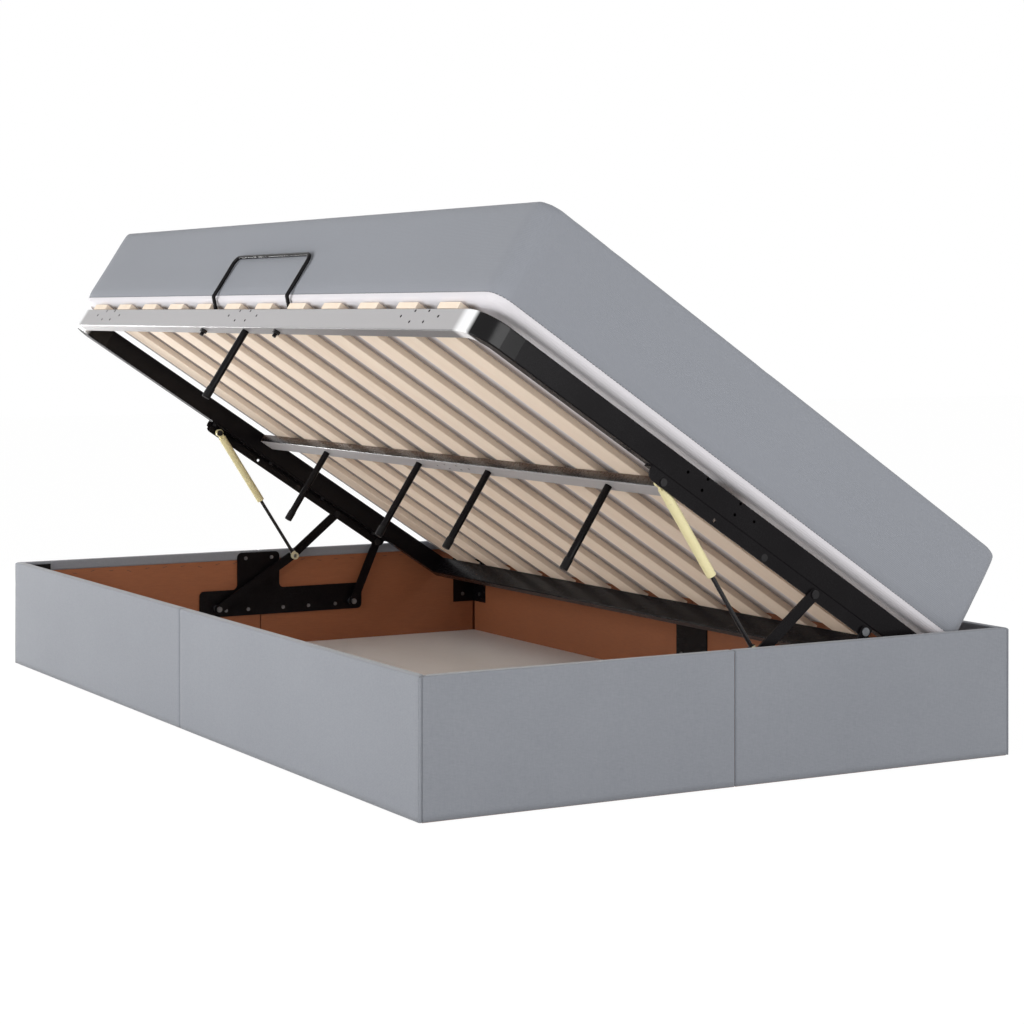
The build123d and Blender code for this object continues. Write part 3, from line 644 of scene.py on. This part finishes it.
def wires_along(name):
    """Short bars of round wire laid along a path: staples and stitches."""
    inputs = dict.fromkeys(("Spacing", "Width", "Wire", "Turn", "Scatter"), "NodeSocketFloat")
    inputs |= {"Seed": "NodeSocketInt", "Material": "NodeSocketMaterial"}
    tree, sockets, start, end = node_group(name, inputs)
    given = start.outputs

    def add(kind, values=None, settings=None, output=0):
        return add_node(tree, kind, settings, values).outputs[output]

    def times(socket, factor):
        return add("ShaderNodeMath", {0: socket, 1: factor}, {"operation": "MULTIPLY"})

    def spread(socket):
        values = {2: times(socket, -1.0), 3: socket, "Seed": given["Seed"]}
        return add("FunctionNodeRandomValue", values, {"data_type": "FLOAT"}, 1)

    path = add("GeometryNodeMeshToCurve", {"Mesh": given["Geometry"]})
    points = add("GeometryNodeResampleCurve", {"Curve": path, "Length": given["Spacing"]}, {"mode": "LENGTH"})
    aim = add("FunctionNodeAlignRotationToVector", {"Vector": add("GeometryNodeInputTangent")}, {"axis": "X"})
    ends = [add("ShaderNodeCombineXYZ", {0: times(given["Width"], share)}) for share in (-0.5, 0.5)]
    line = add("GeometryNodeCurvePrimitiveLine", {"Start": ends[0], "End": ends[1]})
    section = {"Resolution": 6, "Radius": given["Wire"]}
    circle = add("GeometryNodeCurvePrimitiveCircle", section, {"mode": "RADIUS"})
    bar = add("GeometryNodeCurveToMesh", {"Curve": line, "Profile Curve": circle, "Fill Caps": True})
    laid = add("GeometryNodeInstanceOnPoints", {"Points": points, "Instance": bar, "Rotation": aim})
    turn = add("ShaderNodeCombineXYZ", {1: spread(given["Turn"])})
    laid = add("GeometryNodeRotateInstances", {"Instances": laid, "Rotation": turn})
    shift = add("ShaderNodeCombineXYZ", {2: spread(given["Scatter"])})
    laid = add("GeometryNodeTranslateInstances", {"Instances": laid, "Translation": shift})
    solid = add("GeometryNodeRealizeInstances", {0: laid})
    done = add("GeometryNodeSetMaterial", {"Geometry": solid, "Material": given["Material"]})
    tree.links.new(done, end.inputs[0])
    return tree, sockets


def run_group(name, tree, sockets, path, values):
    """Runs a node tree on a mesh of edges and keeps its result as a plain mesh."""
    mesh = bpy.data.meshes.new(name)
    path.to_mesh(mesh)
    path.free()
    piece = bpy.data.objects.new(name, mesh)
    bpy.context.scene.collection.objects.link(piece)
    modifier = piece.modifiers.new(name, "NODES")
    modifier.node_group = tree
    for label, value in values.items():
        modifier[sockets[label].identifier] = value
    settle(piece)
    if not piece.data.polygons:
        raise RuntimeError(name + " made no faces")
    return piece


# ---- settings

PICTURE = 1024
PICTURE_CENTRE = (470.0, 312.07)

def colour_prop(name, description, default):
    return bpy.props.FloatVectorProperty(
        name=name, description=description, default=default, subtype="COLOR", size=3, min=0.0, max=1.0
    )


def number_prop(name, description, default, **more):
    return bpy.props.FloatProperty(name=name, description=description, default=default, **more)


def length_prop(*words):
    return number_prop(*words, unit="LENGTH", subtype="DISTANCE", precision=4)


def angle_prop(*words):
    return number_prop(*words, unit="ROTATION", subtype="ANGLE")


def power_prop(*words):
    return number_prop(*words, unit="POWER", min=0.0)


class BedMattressSettings(bpy.types.PropertyGroup):
    cover: colour_prop("Cover", "Colour of the cloth over the top and sides", paint(141, 144, 151))
    base: colour_prop("Base cloth", "Colour of the cloth on the underside", paint(225, 222, 226))
    seam_level: length_prop("Seam level", "Height of the seam above the slats' underside", SEAM_LEVEL)
    slat_edge: length_prop("Slat edge", "Place of the right edge of the first slat", 0.11525)
    slat_pitch: length_prop("Slat pitch", "Distance from slat to slat", 0.1555)
    # Painted shadow: colour and width of the band painted on the base cloth beside each slat.
    rub_and_shadow: colour_prop("Painted slat shadow", "Colour of the shadow painted on the base cloth beside each slat", paint(104, 84, 68))
    slat_shadow_width: length_prop("Lee width", "How far the rubbed cloth reaches beside a slat", 0.026)
    knit: length_prop("Knit", "Distance between the cover's stitches", 0.0031)
    rim_reach: length_prop("Rim reach", "How far from a rim the cover keeps its sewn shape", 0.13)
    bow: length_prop("Bow", "How far the end panels bulge at mid height", 0.01)
    swell: length_prop("Swell", "Furthest that the filling pushes the cloth out", 0.007)
    shrink: length_prop("Slack", "How much smaller than its space the filling starts", 0.005)
    voxel: length_prop("Mesh size", "Size of the mesh that the cloth is worked on", 0.014)
    seam_reach: length_prop("Seam reach", "How far the seam and the end panels' bulge reach", 0.02)
    groove: length_prop("Seam groove", "Depth of the valley that the seam pulls in", 0.0022)


class BedCoverSettings(bpy.types.PropertyGroup):
    colour: colour_prop("Colour", "Middle colour of the upholstery", paint(134, 137, 144))
    dark: colour_prop("Dark yarn", "Colour of the darker threads", paint(123, 126, 133))
    light: colour_prop("Light yarn", "Colour of the lighter threads", paint(146, 149, 155))
    thickness: length_prop("Thickness", "Cloth with its thin backing", 0.0029)
    seam_rounding: length_prop("Seam rounding", "Radius where a cover turns in at a seam", 0.0045)
    slack: length_prop("Slack", "Depth of the unevenness in the cloth", 0.0007)
    weave: length_prop("Weave", "Distance between threads", 0.0024)
    crease_place: length_prop("Crease", "Distance from the corner to the neighbouring cloth's edge", 0.0055)


class BedStapleSettings(bpy.types.PropertyGroup):
    spacing: length_prop("Spacing", "Distance between staples", 0.045)
    width: length_prop("Width", "Width of a staple's crown", 0.011)
    wire: length_prop("Wire", "Radius of the staple wire", 0.00055)
    drop: length_prop("Drop", "Distance of the staples below the rim", 0.031)
    corner: length_prop("Corner", "Distance from a corner to the first staple", 0.03)
    scatter: length_prop("Scatter", "How far staples stray up and down", 0.003)
    turn: angle_prop("Turn", "How far staples stray round", 0.35)
    seed: bpy.props.IntProperty(name="Seed", description="Which uneven row is laid", default=4, min=0)


class BedSteelSettings(bpy.types.PropertyGroup):
    black: colour_prop("Black", "Colour of the gloss paint", paint(15, 13, 15))
    # Painted reflection: the pale colour on the outer faces of the front and middle bars.
    pale: colour_prop("Pale bar reflection", "Colour of the painted reflection on the front and middle bars", paint(176, 174, 175))
    cylinder: colour_prop("Cylinder", "Colour of the gas cylinders", paint(228, 218, 170))
    pale_reach: length_prop("Pale reach", "Half the length of the pale run on the front bar", 0.958)
    pale_start: length_prop("Pale start", "Distance from the rear where the pale run begins", 1.164)
    bar_front: length_prop("Bar front", "Distance from the rear to the front bar's outer face", 1.195)
    bar_depth: length_prop("Bar depth", "Depth of the front bar", 0.045)
    middle_depth: length_prop("Middle bar depth", "Depth of the middle bar", 0.02)
    bend_start: length_prop("Bend start", "Half the length of the front bar's straight run", 0.92)
    # Painted highlight on the front bar's bends.
    bend_highlight: colour_prop("Bend highlight", "Colour of the painted highlight on the bends", paint(246, 246, 247))
    # Painted reflection on the upper part of the middle bar's sides.
    brown_reflection: colour_prop("Brown reflection", "Brown reflection painted on the upper part of the middle bar's sides", paint(74, 58, 48))


class BedWoodSettings(bpy.types.PropertyGroup):
    wood: colour_prop("Wood", "Light colour of the slats", paint(255, 241, 223))
    grain: colour_prop("Grain", "Darker colour of the slats", paint(238, 215, 191))
    board: colour_prop("Board", "Colour of the boards inside the box", paint(152, 94, 62))
    floor: colour_prop("Floor sheet", "Colour of the coated sheets in the bottom", paint(238, 236, 234))


class BedStageSettings(bpy.types.PropertyGroup):
    floor: colour_prop("Floor", "Colour of the floor", paint(232, 231, 230))
    whiteness: number_prop("Whiteness", "How white a floor the camera sees", 0.85, min=0.0, max=1.0)
    ambient: number_prop("Ambient", "Level of the light all round", 0.45, min=0.0)
    key: power_prop("Front light", "Power of the lamp in front of the lifting side", 26.0)
    low: power_prop("Low light", "Power of the low lamp that lights the slats from in front", 38.0)
    fill: power_prop("Side light", "Power of the lamp at the near end", 132.0)
    under: power_prop("Under light", "Power of the lamp that grazes the slats", 42.0)
    camera_place: bpy.props.FloatVectorProperty(
        name="Camera",
        description="Where the camera stands",
        default=(4.502, -2.461, 0.835),
        subtype="TRANSLATION",
    )
    camera_turn: angle_prop("Camera turn", "Heading of the camera", radians(60.97))
    focal_share: number_prop("Focal length", "In widths of the picture", 2406.5 / PICTURE)


# ---- operators


class BedOperator:
    bl_options = {"REGISTER", "UNDO"}


FILLING_FRAMES = 20
FILLING = {
    "quality": 4,
    "mass": 0.4,
    "tension_stiffness": 25,
    "compression_stiffness": 25,
    "shear_stiffness": 10,
    "bending_stiffness": 4,
    "use_pressure": True,
    "uniform_pressure_force": 4,
}


class BED_OT_mattress(BedOperator, bpy.types.Operator):
    """Make the mattress as a filled cloth cover with its base seam"""

    bl_idname = "bed.mattress"
    bl_label = "Mattress"

    def execute(self, context):
        settings = context.scene.bed_mattress
        made = node_copy("mattress")
        made.transform(RAISED.inverted())
        shape = BVHTree.FromBMesh(made)
        low = [min(vert.co[axis] for vert in made.verts) for axis in range(3)]
        high = [max(vert.co[axis] for vert in made.verts) for axis in range(3)]
        middle = [(a + b) / 2 for a, b in zip(low, high)]
        stretch = [(b - a) / (b - a - 2 * settings.shrink) for a, b in zip(low, high)]
        for vert in made.verts:
            for axis in range(3):
                vert.co[axis] = middle[axis] + (vert.co[axis] - middle[axis]) / stretch[axis]
        cloth = mattress_cloth(settings)
        piece = mesh_piece("mattress_body", made, cloth)
        remesh = piece.modifiers.new("Mesh", "REMESH")
        remesh.mode = "VOXEL"
        remesh.voxel_size = settings.voxel
        remesh.use_smooth_shade = True
        settle(piece)
        sewn = [
            Vector([mid + (part - mid) * more for part, mid, more in zip(vert.co, middle, stretch)])
            for vert in piece.data.vertices
        ]
        self.fill(context.scene, piece, settings, low)
        self.fit(piece, low, high)
        self.crisp(piece, sewn, shape, settings, low, high)
        smooth = piece.modifiers.new("Smooth", "SUBSURF")
        smooth.levels = smooth.render_levels = 1
        settle(piece)
        self.sew(piece, settings, low, high)
        piece.data.transform(RAISED)
        if not piece.data.materials:
            piece.data.materials.append(cloth)
        for face in piece.data.polygons:
            face.use_smooth = True
            face.material_index = 0
        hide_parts("mattress")
        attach(piece, "platform")
        self.stitches(piece, settings)
        return {"FINISHED"}

    def fill(self, scene, piece, settings, low):
        """Lets a light pressure fill the cover, and keeps each point within the swell."""
        start = [vert.co.copy() for vert in piece.data.vertices]
        cloth = piece.modifiers.new("Filling", "CLOTH")
        for name, value in FILLING.items():
            setattr(cloth.settings, name, value)
        cloth.settings.effector_weights.gravity = 0
        cloth.point_cache.frame_start = 1
        cloth.point_cache.frame_end = FILLING_FRAMES
        for number in range(1, FILLING_FRAMES + 1):
            scene.frame_set(number)
        graph = bpy.context.evaluated_depsgraph_get()
        shaped = piece.evaluated_get(graph).to_mesh()
        moved = [vert.co.copy() for vert in shaped.vertices]
        piece.evaluated_get(graph).to_mesh_clear()
        piece.modifiers.clear()
        floor = low[2] + settings.shrink + 4 * MM
        for vert, before, after in zip(piece.data.vertices, start, moved):
            step = after - before
            if step.length > settings.swell:
                step = step * (settings.swell / step.length)
            if before.z < floor:
                step.z = max(step.z, -settings.shrink)
            vert.co = before + step
        piece.data.update()
        scene.frame_set(1)

    def fit(self, piece, low, high):
        """Brings the filled cover back to the room that the mattress has."""
        for axis in range(3):
            places = [vert.co[axis] for vert in piece.data.vertices]
            first, last = min(places), max(places)
            scale = (high[axis] - low[axis]) / (last - first)
            for vert in piece.data.vertices:
                vert.co[axis] = low[axis] + (vert.co[axis] - first) * scale

    def crisp(self, piece, sewn, shape, settings, low, high):
        """Draws the rims back to the mattress's own outline and lets the end panels bulge a little."""
        reach = settings.rim_reach
        for vert, place in zip(piece.data.vertices, sewn):
            across, along, rise = [min(part - a, b - part) for part, a, b in zip(place, low, high)]
            share = min(1.0, max(0.0, (reach - max(rise, min(across, along))) / reach * 1.2))
            weight = share * share * (3 - 2 * share)
            if weight > 0:
                vert.co = vert.co.lerp(shape.find_nearest(place)[0], weight)
            end = 1 - across / settings.seam_reach
            if end > 0:
                height = 2 * (place.z - low[2]) / (high[2] - low[2]) - 1
                vert.co.x += settings.bow * (1 - height ** 2) * (1 if place.x > 0 else -1) * end

    def sew(self, piece, settings, low, high):
        """Flattens what lies on the slats and pulls in the seam."""
        for vert in piece.data.vertices:
            place = vert.co
            from_seam = abs(place.z - settings.seam_level)
            if from_seam < settings.seam_reach and place.z > low[2] + 12 * MM:
                depth = settings.groove * (1 - from_seam / settings.seam_reach) ** 2
                x = place.x / (high[0] - low[0])
                y = (place.y - (low[1] + high[1]) / 2) / (high[1] - low[1])
                if abs(x) > abs(y):
                    place.x -= depth if x > 0 else -depth
                else:
                    place.y -= depth if y > 0 else -depth
            place.z = min(max(place.z, low[2]), high[2] + 4 * MM)
        piece.data.update()

    def stitches(self, piece, settings):
        """Blind stitches along the base seam."""
        path = bmesh.new()
        path.from_mesh(piece.data)
        path.transform(RAISED.inverted())
        cut = bmesh.ops.bisect_plane(
            path,
            geom=path.verts[:] + path.edges[:] + path.faces[:],
            plane_co=(0, 0, settings.seam_level),
            plane_no=(0, 0, 1),
        )
        kept = {item for item in cut["geom_cut"] if isinstance(item, bmesh.types.BMEdge)}
        bmesh.ops.delete(path, geom=path.faces[:], context="FACES_ONLY")
        bmesh.ops.delete(path, geom=[edge for edge in path.edges if edge not in kept], context="EDGES")
        bmesh.ops.delete(path, geom=[vert for vert in path.verts if not vert.link_edges], context="VERTS")
        path.transform(RAISED)
        sizes = {"Spacing": 0.0072, "Width": 0.0052, "Wire": 0.0006, "Turn": 0.12, "Scatter": 0.0001}
        values = {**sizes, "Seed": 2, "Material": seam_thread()}
        stitches = run_group("mattress_seam_stitches", *wires_along("Seam stitches"), path, values)
        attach(stitches, "platform")


class BED_OT_box_covers(BedOperator, bpy.types.Operator):
    """Pull the upholstery cloth over the eight boards of the box"""

    bl_idname = "bed.box_covers"
    bl_label = "Box covers"

    def execute(self, context):
        settings = context.scene.bed_covers
        cloth = linen(settings)
        walls = [
            ("front_cover_left", -1, "front"),
            ("front_cover_right", 1, "front"),
            ("rear_cover_left", -1, "rear"),
            ("rear_cover_right", 1, "rear"),
            ("right_end_cover_front", -1, "right"),
            ("right_end_cover_rear", 1, "right"),
            ("left_end_cover_front", -1, "left"),
            ("left_end_cover_rear", 1, "left"),
        ]
        for seed, (node, way, side) in enumerate(walls):
            is_end = side in ("left", "right")
            half = HALF_WIDTH if is_end else HALF_LENGTH
            start, end = (-half, -SEAM_GAP) if way < 0 else (SEAM_GAP, half)
            mitres = (1, 0) if way < 0 else (0, 1)
            piece, outline = cover_shell(
                node + "_cloth", start, end, *mitres, PLACES[side], settings, seed * 3 + 1, cloth, is_end
            )
            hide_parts(node)
            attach(piece, "base")
        return {"FINISHED"}


class BED_OT_staples(BedOperator, bpy.types.Operator):
    """Staple the folded cloth down inside the box"""

    bl_idname = "bed.staples"
    bl_label = "Staples"

    def execute(self, context):
        settings = context.scene.bed_staples
        height = BOX_HEIGHT - settings.drop
        reach = settings.wire * 0.6
        x = HALF_LENGTH - WALL - reach
        y = HALF_WIDTH - WALL - reach
        end = settings.corner
        path = bmesh.new()
        rows = [
            ((-x + end, -y), (x - end, -y)),
            ((x - end, y), (-x + end, y)),
            ((x, -y + end), (x, y - end)),
            ((-x, y - end), (-x, -y + end)),
        ]
        for ends in rows:
            path.edges.new([path.verts.new((*point, height)) for point in ends])
        sizes = ("spacing", "width", "wire", "turn", "scatter", "seed")
        values = {size.title(): getattr(settings, size) for size in sizes}
        values["Material"] = staple_wire()
        staples = run_group("cover_staples", *wires_along("Staples"), path, values)
        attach(staples, "base")
        return {"FINISHED"}


class BED_OT_boards(BedOperator, bpy.types.Operator):
    """Coat the boards and the storage floor"""

    bl_idname = "bed.boards"
    bl_label = "Boards and storage floor"

    def execute(self, context):
        settings = context.scene.bed_wood
        dress(board_face(settings), *named("board"))
        dress(floor_sheet(settings), "storage_floor")
        return {"FINISHED"}


class BED_OT_slats(BedOperator, bpy.types.Operator):
    """Finish the slats in pale birch"""

    bl_idname = "bed.slats"
    bl_label = "Slats"

    def execute(self, context):
        dress(slat_wood(context.scene.bed_wood), *named("slat_"))
        return {"FINISHED"}


class BED_OT_steelwork(BedOperator, bpy.types.Operator):
    """Paint the frame, the brackets, the links, the legs and the handle"""

    bl_idname = "bed.steelwork"
    bl_label = "Steelwork"

    def execute(self, context):
        settings = context.scene.bed_steel
        black = tuple(settings.black)
        rails = ["frame_left_rail", "frame_right_rail", "frame_rear_tube", "lift_handle", "support_legs"]
        dress(gloss_black("gloss_black_frame", black, 0.35), *rails)
        plates = named("bracket", "link_left", "link_right")
        dress(gloss_black("gloss_black_plates", black, 0.5), *plates, "joint_plates")
        dress(front_bar_paint_and_reflection(settings), "frame_front_tube")
        dress(middle_bar_paint_and_reflection(settings), "frame_middle_bar")
        dark = ["platform_bolts", "upper_link_pins"]
        fixings = named("screws", "bolts", "pins", "stud", "rivet")
        dress(blackened_steel(), *dark)
        dress(zinc(), *[name for name in fixings if name not in dark])
        dress(cap_plastic(), "support_leg_caps")
        return {"FINISHED"}


class BED_OT_struts(BedOperator, bpy.types.Operator):
    """Finish the gas cylinders and their rods"""

    bl_idname = "bed.struts"
    bl_label = "Gas struts"

    def execute(self, context):
        dress(cylinder_paint(context.scene.bed_steel), "strut_cylinder_left", "strut_cylinder_right")
        dress(rod_steel(), "strut_rod_left", "strut_rod_right")
        return {"FINISHED"}


# name, place, target, size and the property that holds its power
LAMPS = [
    ("front_lamp", (0.2, -3.3, 1.4), (0.0, 0.0, 0.8), (3.2, 1.2), "key"),
    ("low_lamp", (0.2, -3.1, 0.47), (0.0, 0.1, 1.0), (3.2, 0.9), "low"),
    ("side_lamp", (5.6, 0.6, 1.6), (0.6, 0.0, 0.5), (3.0, 3.0), "fill"),
    ("under_lamp", (-2.9, -0.8, 0.33), (0.1, -0.1, 0.65), (0.9, 0.3), "under"),
]
FLOOR_REACH = 14.0
FLOOR_DROP = 0.6 * MM


class BED_OT_stage(BedOperator, bpy.types.Operator):
    """Set the floor, the lamps, the world and the camera"""

    bl_idname = "bed.stage"
    bl_label = "Stage"

    def execute(self, context):
        settings = context.scene.bed_stage
        scene = context.scene
        scene.view_settings.view_transform = "Standard"
        self.floor(settings)
        self.world(scene, settings)
        for name, place, target, size, power in LAMPS:
            self.lamp(name, place, target, size, getattr(settings, power))
        data = bpy.data.cameras.new("studio_camera")
        data.lens = data.sensor_width * settings.focal_share
        across, down = PICTURE_CENTRE
        data.shift_x = (PICTURE / 2 - across) / PICTURE
        data.shift_y = -(PICTURE / 2 - down) / PICTURE
        data.clip_end = 60.0
        camera = bpy.data.objects.new("studio_camera", data)
        camera.location = settings.camera_place
        camera.rotation_euler = (pi / 2, 0, settings.camera_turn)
        scene.collection.objects.link(camera)
        scene.camera = camera
        return {"FINISHED"}

    def floor(self, settings):
        finish = Finish("studio_floor", roughness=0.8, specular=0.1)
        cloud = finish.noise(1.5, 2.0, 0.5)
        finish.colour(finish.shades(cloud, settings.floor, 0.985))
        rays = finish.node("ShaderNodeLightPath")
        seen = Value(finish, rays.outputs["Is Camera Ray"])
        white = finish.node("ShaderNodeEmission", values={"Color": (1.0, 1.0, 1.0), "Strength": 1.1})
        both = finish.node("ShaderNodeMixShader", values={0: seen * settings.whiteness})
        finish.tree.links.new(finish.surface.outputs[0], both.inputs[1])
        finish.tree.links.new(white.outputs[0], both.inputs[2])
        end = [made for made in finish.tree.nodes if made.type == "OUTPUT_MATERIAL"][0]
        finish.tree.links.new(both.outputs[0], end.inputs[0])
        made = bmesh.new()
        corners = [(-1, -1), (1, -1), (1, 1), (-1, 1)]
        made.faces.new([made.verts.new((x * FLOOR_REACH, y * FLOOR_REACH, -FLOOR_DROP)) for x, y in corners])
        floor = mesh_piece("studio_floor_sheet", made, finish.material)

    def world(self, scene, settings):
        world = bpy.data.worlds.new("studio_light")
        world.use_nodes = True
        tree = world.node_tree
        tree.nodes.clear()
        rays = tree.nodes.new("ShaderNodeLightPath").outputs
        maximum = {"operation": "MAXIMUM"}
        glossy = add_node(
            tree, "ShaderNodeMath", maximum, {0: rays["Is Glossy Ray"], 1: rays["Is Transmission Ray"]}
        )
        seen = add_node(tree, "ShaderNodeMath", maximum, {0: rays["Is Camera Ray"], 1: glossy.outputs[0]})
        levels = {"Value": seen.outputs[0], "To Min": settings.ambient, "To Max": 1.0}
        level = add_node(tree, "ShaderNodeMapRange", values=levels)
        white = {"Color": (1.0, 1.0, 1.0, 1.0), "Strength": level.outputs[0]}
        light = add_node(tree, "ShaderNodeBackground", values=white)
        add_node(tree, "ShaderNodeOutputWorld", values={"Surface": light.outputs[0]})
        scene.world = world

    def lamp(self, name, place, target, size, power):
        data = bpy.data.lights.new(name, "AREA")
        data.shape = "RECTANGLE"
        data.size, data.size_y = size
        data.energy = power
        lamp = bpy.data.objects.new(name, data)
        lamp.location = place
        lamp.visible_camera = False
        aim = Vector(target) - Vector(place)
        lamp.rotation_euler = aim.to_track_quat("-Z", "Y").to_euler()
        bpy.context.scene.collection.objects.link(lamp)


class BED_PT_panel(bpy.types.Panel):
    bl_idname = "BED_PT_panel"
    bl_label = "Ottoman storage bed"
    bl_space_type = "VIEW_3D"
    bl_region_type = "UI"
    bl_category = "Bed"

    def draw(self, context):
        for operator, group in ORDER:
            box = self.layout.box()
            box.operator("bed." + operator)
            if group:
                settings = getattr(context.scene, group)
                for name in settings.bl_rna.properties.keys():
                    if name not in ("rna_type", "name"):
                        box.prop(settings, name)


GROUPS = {
    "bed_mattress": BedMattressSettings,
    "bed_covers": BedCoverSettings,
    "bed_staples": BedStapleSettings,
    "bed_steel": BedSteelSettings,
    "bed_wood": BedWoodSettings,
    "bed_stage": BedStageSettings,
}
ORDER = [
    ("stage", "bed_stage"),
    ("box_covers", "bed_covers"),
    ("staples", "bed_staples"),
    ("boards", "bed_wood"),
    ("slats", None),
    ("steelwork", "bed_steel"),
    ("struts", None),
    ("mattress", "bed_mattress"),
]
CLASSES = [*GROUPS.values(), *BedOperator.__subclasses__(), BED_PT_panel]


def register():
    for item in CLASSES:
        bpy.utils.register_class(item)
    for name, group in GROUPS.items():
        setattr(bpy.types.Scene, name, bpy.props.PointerProperty(type=group))


def unregister():
    for name in GROUPS:
        delattr(bpy.types.Scene, name)
    for item in reversed(CLASSES):
        bpy.utils.unregister_class(item)


def main():
    register()
    for operator, group in ORDER:
        getattr(bpy.ops.bed, operator)()


if __name__ == "__main__":
    main()
